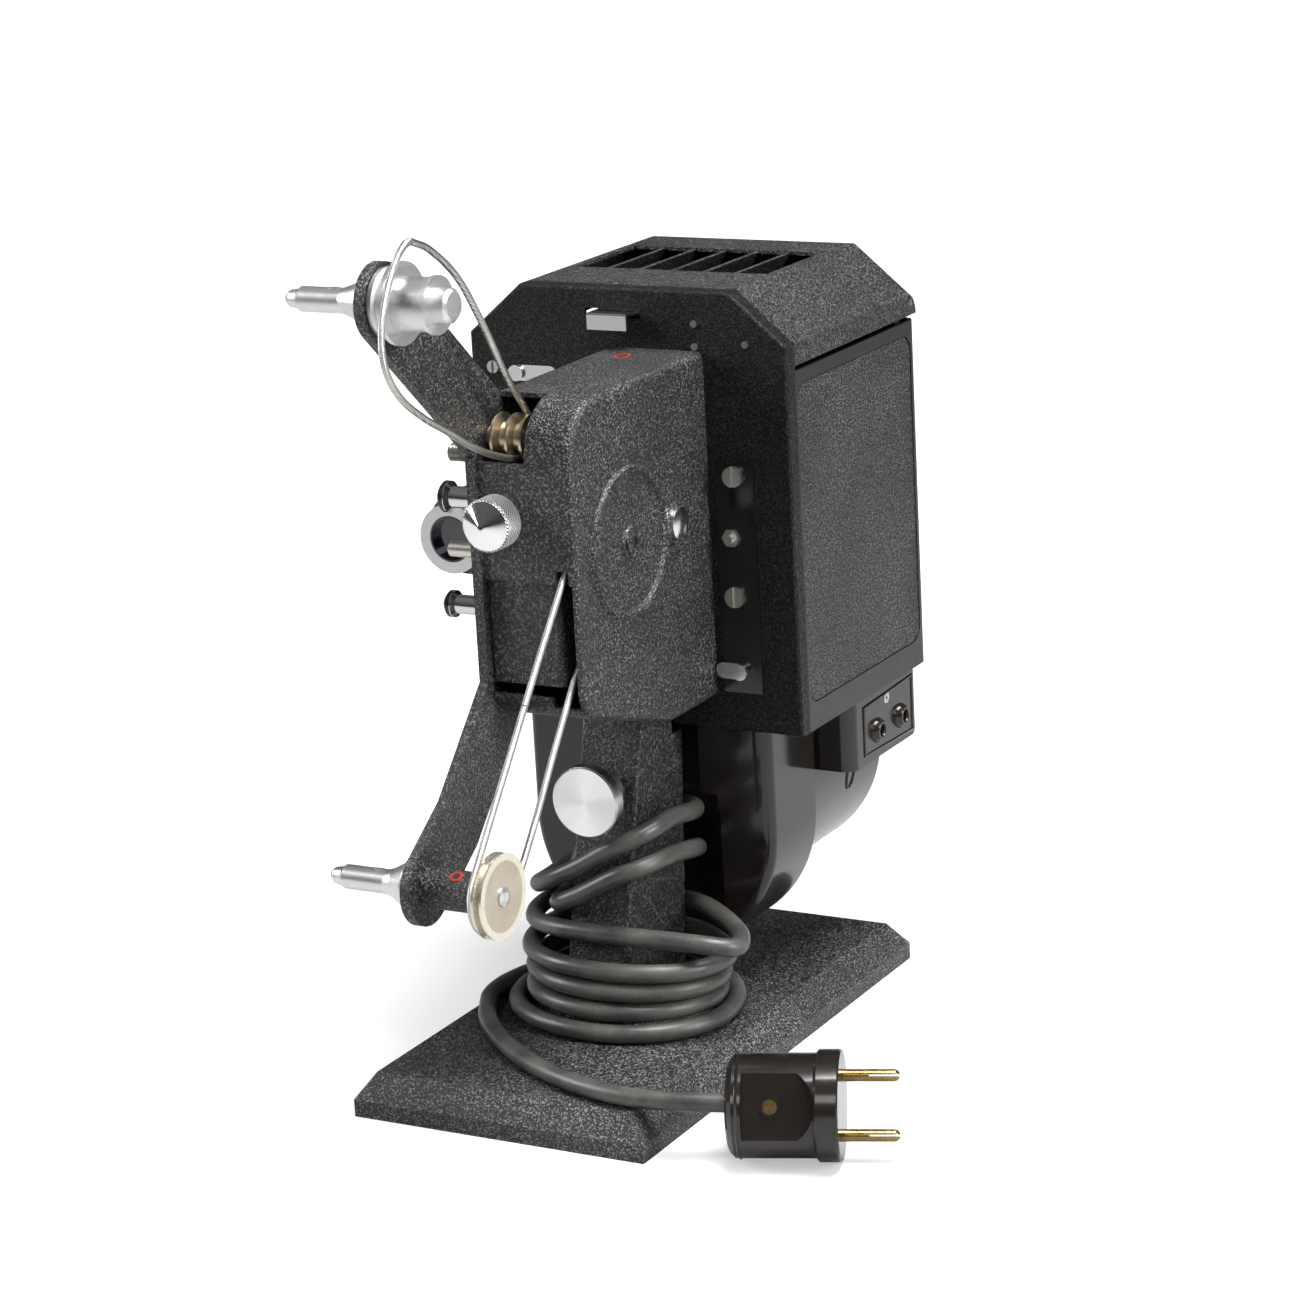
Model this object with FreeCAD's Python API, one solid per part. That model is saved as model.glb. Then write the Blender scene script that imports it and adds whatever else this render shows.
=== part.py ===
import FreeCAD, Part
import math
import os

# Table projector for narrow film, all sizes in millimetres.
# +X is the drive side, -Y the way the lens looks, +Z up.
# The origin is the middle of the base plate's underside.

Vector = FreeCAD.Vector
os.makedirs("parts", exist_ok=True)
AXES = {"x": Vector(1, 0, 0), "y": Vector(0, 1, 0), "z": Vector(0, 0, 1)}

# general gauges and fits
SHEET = 1.2
GAP = 0.3
RUN_FIT = 0.06
CUT = 1.0
SCREW_R = 1.5
SCREW_HOLE_R = SCREW_R + RUN_FIT
HEAD_R = 3.5
HEAD_H = 1.8
SLOT_W = 0.9
SLOT_D = 0.8

# base plate with bevelled edges, open below
BASE_W = 110.0
BASE_L = 203.0
BASE_H = 14.7
BASE_BAND = 6.0
BASE_INSET = 6.2
BASE_WALL = 9.0
BASE_POCKET = 8.5

# column, raked in front
COL_W = 23.0
COL_FOOT_FRONT = -35.2
COL_FOOT_REAR = 12.0
COL_TOP = 120.5
COL_TOP_FRONT = -9.8
COL_TOP_REAR = 10.4
COL_STEP_Z = 107.5
COL_STEP_REAR = 18.4
COL_WALL = 3.5
COL_CAVITY_Z = 84.0
COL_EDGE_R = 1.4
COL_SCREW_R = 3.0
COL_SCREW_L = 24.0
COL_SCREW_Y = (-24.0, 2.0)

# tilt joint and its screw
PIVOT_Y = 1.0
PIVOT_Z = 131.0
TILT_PIN_R = 2.5
EAR_R = 7.0
EAR_T = 3.0
EAR_MIN_X = -4.0
LEVER_W = 8.9
LEVER_END_Z = 88.0
LEVER_TOP_Z = 156.0
LEVER_D = 9.0
TILT_KNOB_Z = 94.5
TILT_KNOB_R = 12.5
TILT_KNOB_T = 5.2
TILT_KNOB_FACE = -32.0
TILT_BOSS_R = 8.0
TILT_SCREW_R = 3.0
TILT_SCREW_END = 6.0
TILT_SLOT_R = 4.2

# film side frame plate
PLATE_MIN_X = -8.5
PLATE_T = 3.5
PLATE_MAX_X = PLATE_MIN_X + PLATE_T
PLATE_FRONT = -79.3
PLATE_LOW_FRONT = 149.5
PLATE_TOP = 239.3
PLATE_TOP_FRONT = 223.0
PLATE_TOP_Y = -61.0

# drive cover
COVER_MAX_X = 29.5
COVER_T = 1.6
COVER_FRONT = -78.0
COVER_TOP = 241.4
COVER_BOTTOM = 122.3
COVER_KEEL_Y = -20.0
COVER_CHIN_Z = 139.6
COVER_NOSE_R = 19.0
COVER_CHIN_R = 12.0
COVER_KEEL_R = 8.0
COVER_EDGE_R = 2.6
FRONT_LIP_Z = 183.5
FRONT_RAIL = 2.1
OPENING_MAX_X = 12.5
OPENING_Z = 222.0
OPENING_Y = -60.5
RING_R = 24.0
RING_W = 3.4
RING_H = 1.3
RING_Y = -43.0
RING_Z = 189.5
RING_BOSS_R = 4.5
RING_BOSS_H = 1.8
BUTTON_Y = -12.4
BUTTON_Z = 188.8
BUTTON_R = 5.4
BUTTON_COLLAR_R = 7.2
BUTTON_COLLAR_T = 1.2
BUTTON_OUT = 3.4
BUTTON_IN = 6.0

# lower front box, belt slot and floor
BOX_MIN_X = -4.4
BOX_MAX_X = 21.4
BOX_FRONT = -76.0
BOX_BOTTOM = 149.0
BOX_TOP = 183.2
BOX_D = 8.0
FLOOR_T = 1.8
FLOOR_TOP = 145.4
FLOOR_NOTCH = 3.6

# reel arms and spindles
ARM_R = 12.6
UP_Y = -124.1
UP_Z = 281.9
UP_ROOT_Y = -62.0
UP_ROOT_Z = 225.4
LOW_Y = -122.6
LOW_Z = 93.8
LOW_ROOT_Y = -66.0
LOW_ROOT_Z = 145.0
LOW_KNEE_Y = -101.0
LOW_KNEE_Z = 108.2
ARM_SCREW_STEP = 11.0
ARM_SCREW_BACK = 3.5
ARM_SCREW_R = 2.0
ARM_HEAD_R = 3.6
SPINDLE_R = 4.0
SPINDLE_NOSE_R = 3.2
SPINDLE_NOSE = 5.4
SPINDLE_KEY_L = 3.6
SPINDLE_KEY_W = 1.6
SPINDLE_KEY_H = 0.1
SPINDLE_NOTCH_D = 0.6
AXLE_R = 3.0
UP_TIP = -40.4
UP_CONE = -19.9
UP_CONE_R = 8.0
UP_RING_R = 11.1
UP_RING_END = 0.0
UP_FLANGE_R = 12.9
UP_FLANGE_END = 1.7
UP_HUB_R = 8.4
UP_HUB_END = 12.6
UP_LIP_R = 9.1
UP_LIP_END = 14.1
UP_STUB_R = 5.4
UP_STUB_END = 19.5
LOW_TIP = -41.6
LOW_CONE = -20.6
LOW_CONE_R = 8.3
LOW_BOSS_R = 6.6
LOW_BOSS_END = 15.0
REEL_PULLEY_MIN_X = 18.4
REEL_PULLEY_T = 3.7
REEL_PULLEY_R = 13.9
REEL_GROOVE = 2.2
REEL_RIVET_R = 3.2

# belts of close wound spring wire
BELT_R = 1.12
BELT_CLEAR = 0.3
RIM = 2.0

# main shaft and the pulleys above and below
SHAFT_R = 2.5
MAIN_Y = -57.0
MAIN_Z = 190.0
WHEEL_MIN_X = 0.7
WHEEL_T = 5.0
WHEEL_R = 8.3
WORM_R = 4.9
WORM_L = 14.0
TAKEUP_X = 24.0
TAKEUP_R = 12.1
SMALL_R = 4.6
SMALL_X = 19.5
TWIN_Y = -68.0
TWIN_Z = 228.5
TWIN_MIN_X = -1.1
TWIN_RIM_R = 7.8
TWIN_GROOVE_R = 5.0
TWIN_STEP = 5.3
TWIN_RIM_T = 0.9
BEARING_PLATE_T = 2.2

# shutter shaft
KNOB_X = 3.2
KNOB_Z = 204.0
KNOB_R = 8.7
KNOB_END = -92.0
KNOB_L = 13.5
SHUTTER_SHAFT_END = 43.0
SHUTTER_Y = 16.2
SHUTTER_T = 0.8
SHUTTER_R = 38.0
SHUTTER_HUB_R = 8.0
SHUTTER_BLADES = 3
MOTOR_BELT_Y = 36.0
SHUTTER_PULLEY_R = 11.0
MOTOR_PULLEY_R = 5.0

# lens, gate and film guides
LENS_X = -28.2
LENS_Z = 190.6
LENS_FRONT = -59.8
LENS_R = 11.6
LENS_BORE = 7.2
LENS_L = 33.0
LENS_SLEEVE_T = 2.6
LENS_SLEEVE_FRONT = -50.0
LENS_SLEEVE_L = 20.0
GATE_FRONT = -14.0
GATE_MIN_X = -38.0
GATE_LOW = 172.0
GATE_HIGH = 210.0
APERTURE_W = 4.9
APERTURE_H = 3.7
BEAM_R = 9.0
PRESS_T = 3.2
PRESS_W = 17.0
PRESS_L = 30.0
PRESS_PIN_R = 1.2
CLAW_X = -33.8
CLAW_W = 2.6
CLAW_TRAVEL = 3.8
ROLLER_END = -27.0
ROLLER_L = 16.5
ROLLER_STUD_R = 1.5
ROLLERS = {"upper": (-65.5, 206.6, 5.2, 3.6), "lower": (-66.6, 170.9, 4.5, 3.2)}
GUIDE_PIN = (-70.5, 190.7, 2.6, -21.5)
GUIDE_STUD = (-68.8, 222.3, 2.9, -20.0)

# lamphouse
HOUSE_W = 121.2
HOUSE_FRONT = 12.6
HOUSE_REAR = 114.0
HOUSE_LOW = 110.4
HOUSE_TOP = 261.5
CHAMFER_W = 20.7
CHAMFER_H = 17.4
FRONT_FLANGE = 6.0
WALL_T = 1.6
WRAP_BEND = 4.8
WALL_TOP = 234.9
LID_LOW = 236.7
LID_REAR_R = 6.0
HINGE_BACK = 3.8
HINGE_Y = HOUSE_REAR - HINGE_BACK
HINGE_Z = 240.9
HINGE_R = 1.2
HINGE_EAR_R = 2.2
HINGE_EAR_T = 1.6
HINGE_STEM_BACK = 6.2
HINGE_STEM_W = 4.0
HINGE_STEM_DROP = 10.0
VENT_W = 74.0
VENT_MIN_Y = 47.0
VENT_MAX_Y = 88.7
SLATS = 5
SLAT_H = 8.0
SLAT_T = 1.0
SLAT_LEAN = 35.0
PANEL_MIN_Y = 20.0
PANEL_MAX_Y = 108.0
PANEL_LOW = 120.0
PANEL_HIGH = 230.0
PANEL_R = 6.0
PANEL_T = 0.5
PANEL_INSET = 0.7
STRIP_MIN_X = 32.7
STRIP_MAX_X = 46.9
STRIP_LOW = 124.6
STRIP_HIGH = 203.7
STRIP_T = 1.4
STRIP_SCREWS = ((39.8, 199.8), (38.5, 158.1))
HEX_STUD = (38.1, 178.6)
HEX_STUD_R = 3.2
HEX_STUD_H = 3.0
PANEL_SCREW = (-51.2, 232.6)
PANEL_HEAD_R = 2.2
RIVETS = ((27.0, 250.6), (45.7, 244.4), (26.9, 242.9))
RIVET_R = 1.2
RIVET_H = 0.7
LATCH_X = -3.2
LATCH_W = 15.0
LATCH_TOP = 253.8
LATCH_LIP = 5.6
LATCH_OUT = 4.6
LATCH_TRAVEL = 1.2
LATCH_SLOT_W = 21.0
LATCH_SLOT_X = -4.0
CLUTCH_X = 39.5
CLUTCH_Z = 132.3
CLUTCH_L = 6.4
CLUTCH_R = 2.8
TOP_LEVER_X = -42.0
TOP_LEVER_Z = 231.0
TOP_LEVER_L = 13.0

# lamp and its optics
LAMP_Y = 62.0
BULB_R = 13.0
BULB_Z = 190.0
CAP_R = 8.0
CAP_TOP = 152.0
SOCKET_R = 12.0
SOCKET_TOP = 148.0
CAP_BOTTOM = 130.0
CONDENSER_Y = 24.0
CONDENSER_L = 20.0
CONDENSER_R = 13.0
CONDENSER_T = 1.5
REFLECTOR_Y = 86.0
REFLECTOR_R = 20.0
REFLECTOR_DISH = 6.0

# motor housing of moulded resin, in two shells
MOTOR_X = -4.5
MOTOR_Z = 70.0
MOTOR_R = 47.5
MOTOR_FRONT = 21.0
MOTOR_SEAM = 54.5
MOTOR_REAR = 113.3
MOTOR_WALL = 2.6
MOTOR_EDGE_R = 3.5
REAR_SHELL_R = 46.4
REAR_SHELL_Z = 80.7
REAR_EDGE_R = 2.9
RECESS_D = 9.0
RECESS_W = 46.0
RECESS_HIGH_W = 33.0
RECESS_STEP_Z = 84.0
FACE_PLATE_T = 1.4
FACE_PLATE_Z = 79.0
FACE_PLATE_HALF = 42.0
STATOR_R = 30.0
STATOR_BORE = 18.5
STATOR_MIN_Y = 53.0
STATOR_L = 22.0
ROTOR_R = 18.0
MOTOR_SHAFT_R = 3.0
MOTOR_SHAFT_MIN_Y = 33.2
MOTOR_SHAFT_MAX_Y = 98.0
BRACKET_T = 3.0
BRACKET_H = 18.0
FAN_Y = 86.0
FAN_L = 9.0
FAN_R = 30.0
FAN_BLADES = 8

# mains inlet
INLET_MAX_X = 57.0
INLET_MIN_Y = 57.0
INLET_MAX_Y = 108.5
INLET_LOW = 84.0
INLET_PITCH = 19.0
INLET_Y = 87.0
INLET_Z = 94.0
INLET_BORE_R = 2.1
INLET_BORE_D = 12.0

# cord and plug
CORD_D = 6.4
CORD_R = CORD_D / 2
GLAND_Z = 68.0
GLAND_Y = 20.5
GLAND_MIN_X = -1.0
GLAND_MAX_X = 6.0
GLAND_H = 8.6
GLAND_REAR = 24.6
CORD_REST_Z = BASE_H + CORD_R + GAP

# The drape from the gland: places and headings in plan, in degrees.
DRAPE = (
    (GLAND_MIN_X, GLAND_Y, GLAND_Z, 180), (GLAND_MIN_X - CORD_D, GLAND_Y, GLAND_Z, 180),
    (-18.5, 14.5, 65.4, 220), (-31.0, -9.0, 56.5, 270), (-10.4, -26.9, 67.6, 4), (8.4, -25.6, 78.2, 10),
    (18.6, -9.0, 83.4, 90), (16.8, 14.7, 80.0, 118), (5.0, 22.8, 78.0, 180),
    (-15.0, 17.6, 74.0, 222), (-20.4, 4.0, 68.0, 268), (-20.4, -13.0, 54.5, 275), (-10.0, -28.6, 58.2, 5),
    (10.0, -27.6, 68.6, 14), (19.2, -12.0, 71.2, 92), (17.6, 13.5, 66.5, 115), (4.0, 22.6, 59.5, 180),
    (-14.8, 16.4, 54.5, 225), (-30.6, -15.0, 48.8, 270), (2.0, -33.4, 48.8, 1), (40.0, -29.5, 48.2, 8),
    (50.0, -19.5, 45.8, 105), (25.9, 7.8, 46.2, 140), (1.0, 20.0, 44.0, 180),
)
# The flat turns round the column's foot, from the top: left, front, right and rear reach.
TURNS = (
    (-31.3, -41.6, 40.5, 19.8), (-30.0, -42.2, 37.6, 19.8),
    (-30.0, -43.2, 35.2, 19.6), (-37.5, -46.4, 40.3, 26.6),
)
TURN_PITCH = 7.0
LOWEST_PITCH = 6.5
TURN_SIDE_Y = -15.0
TURN_BEND_Y = 7.8
TURN_MIDDLE_X = 3.0
TURN_CORNER = (-17.6, 14.6)
LOWEST_CORNER = (-20.5, 13.5)
TURN_CORNER_SHARE = 0.7
TURN_LEFT_RISE = 1.1
TURN_RIGHT_FALL = 1.4
TURN_REAR_FALL = 4.2
# Where the coil leaves its lowest turn, and the cord's corners from there to the plug.
COIL_EXIT = ((-46.2, -14.0, 270), (-43.6, -31.0, 298))
EXIT_RUN = 13.0
LEAD = ((-16.5, -66.5), (7.0, -82.3), (34.0, -92.0))
PLUG_RUN = 20.0
CORNER_SHARE = 0.45

# plug
PLUG_X = 78.2
PLUG_Y = -86.3
PLUG_TURN = 21.0
PLUG_ROLL = 20.0
PLUG_R = 18.0
PLUG_BODY_R = 16.8
PLUG_BODY_L = 29.4
PLUG_SKIRT_L = 7.6
PLUG_NECK_R = 9.0
PLUG_EDGE_R = 3.0
PLUG_FLAT = 13.0
PLUG_FLAT_R = 12.9
PLUG_FLAT_START = 6.0
PLUG_BEAD_R = 0.5
PIN_R = 2.0
PIN_L = 18.5
PIN_PITCH = 19.0
PIN_SEAT = 8.0
PIN_SLIT = 0.6
PIN_SLIT_L = 10.0
PLUG_SCREW_X = 15.0
PLUG_SCREW_R = 2.4
PLUG_SCREW_D = 5.0
PLUG_SCREW_RIM_R = 3.6


def at(plane, first, second, along=0.0):
    """A point from its two coordinates in a plane and its place along the plane's normal."""
    if plane == "x":
        return Vector(along, first, second)
    if plane == "y":
        return Vector(first, along, second)
    return Vector(first, second, along)


def outline(plane, corners):
    """A face square to an axis. A corner is two coordinates and, if it is rounded, a radius."""
    points = [at(plane, corner[0], corner[1]) for corner in corners]
    starts = []
    middles = []
    ends = []
    for index, here in enumerate(points):
        radius = corners[index][2] if len(corners[index]) == 3 else 0.0
        back = (points[index - 1] - here).normalize()
        ahead = (points[(index + 1) % len(points)] - here).normalize()
        half = back.getAngle(ahead) / 2
        reach = radius / math.tan(half)
        inward = (back + ahead).normalize() if radius else back
        starts.append(here + back * reach)
        middles.append(here + inward * (radius / math.sin(half) - radius))
        ends.append(here + ahead * reach)
    edges = []
    for index in range(len(points)):
        if (ends[index] - starts[index]).Length > RUN_FIT:
            edges.append(Part.Arc(starts[index], middles[index], ends[index]).toShape())
        following = starts[(index + 1) % len(points)]
        if (following - ends[index]).Length > RUN_FIT:
            edges.append(Part.LineSegment(ends[index], following).toShape())
    return Part.Face(Part.Wire(edges))


def raise_face(face, plane, start, end):
    """The solid that a face square to an axis sweeps from start to end along it."""
    moved = face.translated(AXES[plane] * start)
    return moved.extrude(AXES[plane] * (end - start))


def prism(plane, corners, start, end):
    return raise_face(outline(plane, corners), plane, start, end)


def box(min_x, max_x, min_y, max_y, min_z, max_z):
    corner = Vector(min_x, min_y, min_z)
    return Part.makeBox(max_x - min_x, max_y - min_y, max_z - min_z, corner)


def rod(axis, first, second, radius, start, end):
    """A round bar along an axis, from start to end."""
    return Part.makeCylinder(radius, end - start, at(axis, first, second, start), AXES[axis])


def tube(axis, first, second, outer, inner, start, end):
    wall = rod(axis, first, second, outer, start, end)
    return wall.cut(rod(axis, first, second, inner, start - CUT, end + CUT))


def turned(axis, first, second, profile):
    """A turned solid. The profile is a closed list of places along the axis and radii."""
    points = [at(axis, first + radius, second, along) for along, radius in profile]
    face = Part.Face(Part.makePolygon(points + points[:1]))
    return face.revolve(at(axis, first, second), AXES[axis], 360)


def ball(x, y, z, radius):
    return Part.makeSphere(radius, Vector(x, y, z))


def stadium(axis, start_point, end_point, radius, start, end):
    """A flat bar with round ends, square to an axis."""
    run = Vector(end_point[0] - start_point[0], end_point[1] - start_point[1], 0)
    side = Vector(-run.y, run.x, 0).normalize() * radius
    corners = [
        (start_point[0] + side.x, start_point[1] + side.y),
        (end_point[0] + side.x, end_point[1] + side.y),
        (end_point[0] - side.x, end_point[1] - side.y),
        (start_point[0] - side.x, start_point[1] - side.y),
    ]
    bar = prism(axis, corners, start, end)
    bar = bar.fuse(rod(axis, start_point[0], start_point[1], radius, start, end))
    bar = bar.fuse(rod(axis, end_point[0], end_point[1], radius, start, end))
    return bar.removeSplitter()


def joined(first, *others):
    """One solid from pieces that share faces or overlap."""
    result = first
    for other in others:
        result = result.fuse(other)
    return result.removeSplitter()


def round_edges(shape, radius, chosen):
    """Rounds the edges whose middle passes the test."""
    edges = [edge for edge in shape.Edges if chosen(edge.CenterOfMass, edge)]
    return shape.makeFillet(radius, edges)


def save(name, *solids):
    shape = solids[0] if len(solids) == 1 else Part.makeCompound(list(solids))
    shape.exportStep("parts/" + name + ".step")
    return shape


def slotted_head(first, second, radius, height, face):
    """A cheese head on a face that looks along -Y, with its driver slot."""
    head = rod("y", first, second, radius, face - height, face)
    slot = box(
        first - SLOT_W / 2, first + SLOT_W / 2, face - height - CUT,
        face - height + SLOT_D, second - radius - CUT, second + radius + CUT,
    )
    return head.cut(slot)


# stand


def base_plate():
    half_w = BASE_W / 2
    half_l = BASE_L / 2
    band = box(-half_w, half_w, -half_l, half_l, 0, BASE_BAND)
    rims = []
    for inset, height in ((0, BASE_BAND), (BASE_INSET, BASE_H)):
        x = half_w - inset
        y = half_l - inset
        ring = [Vector(-x, -y, height), Vector(x, -y, height), Vector(x, y, height), Vector(-x, y, height)]
        rims.append(Part.makePolygon(ring + ring[:1]))
    bevel = Part.makeLoft(rims, True, True)
    plate = joined(band, bevel)
    plate = plate.cut(
        box(
            BASE_WALL - half_w, half_w - BASE_WALL, BASE_WALL - half_l, half_l - BASE_WALL,
            -CUT, BASE_POCKET,
        )
    )
    for y in COL_SCREW_Y:
        plate = plate.cut(rod("z", 0, y, COL_SCREW_R + RUN_FIT, 0, BASE_H + CUT))
    return plate


def column_front(z):
    """The column's sloping front face at a height."""
    rise = (z - BASE_H) / (COL_TOP - BASE_H)
    return COL_FOOT_FRONT + (COL_TOP_FRONT - COL_FOOT_FRONT) * rise


def column_rear(z):
    rise = (z - BASE_H) / (COL_STEP_Z - BASE_H)
    return COL_FOOT_REAR + (COL_STEP_REAR - COL_FOOT_REAR) * rise


def ear_places():
    """Where the two ears beside the lever lie along X."""
    inner = EAR_MIN_X + EAR_T + LEVER_W + 2 * GAP
    return ((EAR_MIN_X, EAR_MIN_X + EAR_T), (inner, inner + EAR_T))


def pedestal_column():
    half = COL_W / 2
    column = prism(
        "x",
        [
            (COL_FOOT_FRONT, BASE_H), (COL_TOP_FRONT, COL_TOP), (COL_TOP_REAR, COL_TOP),
            (COL_TOP_REAR, COL_STEP_Z), (COL_STEP_REAR, COL_STEP_Z), (COL_FOOT_REAR, BASE_H),
        ],
        -half, half,
    )
    column = round_edges(
        column, COL_EDGE_R,
        lambda c, e: abs(abs(c.x) - half) < RUN_FIT and e.Length > COL_STEP_Z / 2,
    )
    inner = half - EAR_T
    cavity = prism(
        "x",
        [
            (column_front(COL_CAVITY_Z) + COL_WALL, COL_CAVITY_Z),
            (column_front(COL_TOP + CUT) + COL_WALL, COL_TOP + CUT),
            (COL_TOP_REAR - COL_WALL, COL_TOP + CUT),
            (COL_TOP_REAR - COL_WALL, COL_CAVITY_Z),
        ],
        -inner, inner,
    )
    column = column.cut(cavity)
    for start, end in ear_places():
        foot = box(start, end, PIVOT_Y - EAR_R, PIVOT_Y + EAR_R, COL_TOP - COL_WALL, PIVOT_Z)
        crown = rod("x", PIVOT_Y, PIVOT_Z, EAR_R, start, end)
        root = box(start, end, column_front(COL_TOP), COL_TOP_REAR, COL_TOP - COL_WALL, COL_TOP)
        column = column.fuse(foot.fuse(crown).fuse(root))
    column = column.removeSplitter()
    column = column.cut(rod("x", PIVOT_Y, PIVOT_Z, TILT_PIN_R + RUN_FIT, -half, COL_W))
    column = column.cut(
        rod("y", 0, TILT_KNOB_Z, TILT_SCREW_R + RUN_FIT, COL_FOOT_FRONT, COL_CAVITY_Z - TILT_KNOB_Z)
    )
    for y in COL_SCREW_Y:
        hole_end = BASE_POCKET + COL_SCREW_L + GAP
        column = column.cut(rod("z", 0, y, COL_SCREW_R + RUN_FIT, BASE_H - CUT, hole_end))
    return column


def column_screws():
    screws = []
    for y in COL_SCREW_Y:
        shank = rod("z", 0, y, COL_SCREW_R, BASE_POCKET, BASE_POCKET + COL_SCREW_L)
        head = rod("z", 0, y, 2 * COL_SCREW_R, BASE_POCKET - COL_SCREW_R, BASE_POCKET)
        slot = box(-SLOT_W, SLOT_W, y - COL_W, y + COL_W, 0, BASE_POCKET - COL_SCREW_R + SLOT_D)
        screws.append(joined(shank, head).cut(slot))
    return screws


def tilt_pin():
    first, second = ear_places()
    shank = rod("x", PIVOT_Y, PIVOT_Z, TILT_PIN_R, first[0], second[1])
    head = rod("x", PIVOT_Y, PIVOT_Z, TILT_PIN_R + CUT, second[1], second[1] + CUT)
    return joined(shank, head)


def tilt_lever():
    """Hangs in the column and is pushed by the tilt screw. Its top is flanged to the frame plate."""
    start = EAR_MIN_X + EAR_T + GAP
    half = LEVER_D / 2
    blade = box(start, start + LEVER_W, PIVOT_Y - half, PIVOT_Y + half, LEVER_END_Z, LEVER_TOP_Z)
    flange = box(PLATE_MAX_X, start, PIVOT_Y - half, PIVOT_Y + half, PIVOT_Z + EAR_R + 4 * CUT, LEVER_TOP_Z)
    lever = joined(blade, flange)
    lever = lever.cut(rod("x", PIVOT_Y, PIVOT_Z, TILT_PIN_R + RUN_FIT, start - CUT, start + LEVER_W + CUT))
    return lever.cut(rod("y", 0, TILT_KNOB_Z, TILT_SLOT_R, -COL_W, COL_W))


def boss_back():
    """Where the knob's boss ends, just clear of the sloping column face."""
    return column_front(TILT_KNOB_Z - TILT_BOSS_R) - GAP


def tilt_knob():
    rim_back = TILT_KNOB_FACE + TILT_KNOB_T
    knob = turned(
        "y", 0, TILT_KNOB_Z,
        [
            (TILT_KNOB_FACE, 0), (TILT_KNOB_FACE, TILT_KNOB_R - SHEET / 2),
            (TILT_KNOB_FACE + SHEET / 2, TILT_KNOB_R), (rim_back - SHEET / 2, TILT_KNOB_R),
            (rim_back, TILT_KNOB_R - SHEET / 2), (rim_back, TILT_BOSS_R),
            (boss_back(), TILT_BOSS_R), (boss_back(), 0),
        ],
    )
    return knob.cut(rod("y", 0, TILT_KNOB_Z, TILT_SCREW_R + RUN_FIT, TILT_KNOB_FACE + SHEET, 0))


def tilt_screw():
    start = TILT_KNOB_FACE + SHEET
    shank = rod("y", 0, TILT_KNOB_Z, TILT_SCREW_R, start, TILT_SCREW_END)
    collar_start = column_front(TILT_KNOB_Z + TILT_SLOT_R) + COL_WALL + GAP
    collar = rod("y", 0, TILT_KNOB_Z, TILT_SLOT_R, collar_start, collar_start + CUT)
    return joined(shank, collar)


# frame plate, arms and the pieces that they carry


def plate_corners():
    return [
        (HOUSE_FRONT, COVER_BOTTOM), (HOUSE_FRONT, PLATE_TOP), (PLATE_TOP_Y, PLATE_TOP),
        (PLATE_FRONT, PLATE_TOP_FRONT), (PLATE_FRONT, PLATE_LOW_FRONT),
        (PLATE_FRONT + BASE_BAND, COVER_CHIN_Z), (COVER_KEEL_Y, COVER_BOTTOM),
    ]


def upper_arm_blank(start, end):
    return stadium("x", (UP_ROOT_Y, UP_ROOT_Z), (UP_Y, UP_Z), ARM_R, start, end)


def lower_arm_blank(start, end):
    shank = stadium("x", (LOW_ROOT_Y, LOW_ROOT_Z), (LOW_KNEE_Y, LOW_KNEE_Z), ARM_R, start, end)
    foot = stadium("x", (LOW_KNEE_Y, LOW_KNEE_Z), (LOW_Y, LOW_Z), ARM_R, start, end)
    return joined(shank, foot)


def arm_screw_places():
    """Two screws, one above the other, in the root of each arm."""
    places = []
    for y, z in ((UP_ROOT_Y, UP_ROOT_Z), (LOW_ROOT_Y, LOW_ROOT_Z)):
        for side in (-1, 1):
            places.append((y + ARM_SCREW_BACK, z + side * ARM_SCREW_STEP / 2))
    return places


def lap_x():
    """The face where the arms' halved roots lie on the plate."""
    return PLATE_MIN_X + PLATE_T / 2


def with_arm_screw_holes(shape):
    for y, z in arm_screw_places():
        shape = shape.cut(rod("x", y, z, ARM_SCREW_R + RUN_FIT, PLATE_MIN_X - CUT, PLATE_MAX_X + CUT))
    return shape


def frame_plate():
    plate = prism("x", plate_corners(), PLATE_MIN_X, PLATE_MAX_X)
    plate = plate.cut(upper_arm_blank(PLATE_MIN_X - CUT, lap_x()))
    plate = plate.cut(lower_arm_blank(PLATE_MIN_X - CUT, lap_x()))
    plate = with_arm_screw_holes(plate)
    for y, z, radius in ((MAIN_Y, MAIN_Z, SHAFT_R), (TWIN_Y, TWIN_Z, SHAFT_R)):
        plate = plate.cut(rod("x", y, z, radius + RUN_FIT, PLATE_MIN_X - CUT, PLATE_MAX_X + CUT))
    return plate


def arm(blank):
    back = prism("x", plate_corners(), lap_x(), PLATE_MAX_X + CUT)
    return with_arm_screw_holes(blank.cut(back))


def upper_arm():
    blank = arm(upper_arm_blank(PLATE_MIN_X, PLATE_MAX_X))
    blank = blank.cut(rod("x", TWIN_Y, TWIN_Z, SHAFT_R + RUN_FIT, PLATE_MIN_X - CUT, PLATE_MAX_X + CUT))
    return blank.cut(rod("x", UP_Y, UP_Z, AXLE_R + RUN_FIT, PLATE_MIN_X - CUT, PLATE_MAX_X + CUT))


def lower_arm():
    blank = arm(lower_arm_blank(PLATE_MIN_X, PLATE_MAX_X))
    boss = rod("x", LOW_Y, LOW_Z, LOW_BOSS_R, PLATE_MAX_X, LOW_BOSS_END)
    bore = rod("x", LOW_Y, LOW_Z, AXLE_R + RUN_FIT, PLATE_MIN_X - CUT, LOW_BOSS_END + CUT)
    return joined(blank, boss).cut(bore)


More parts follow.
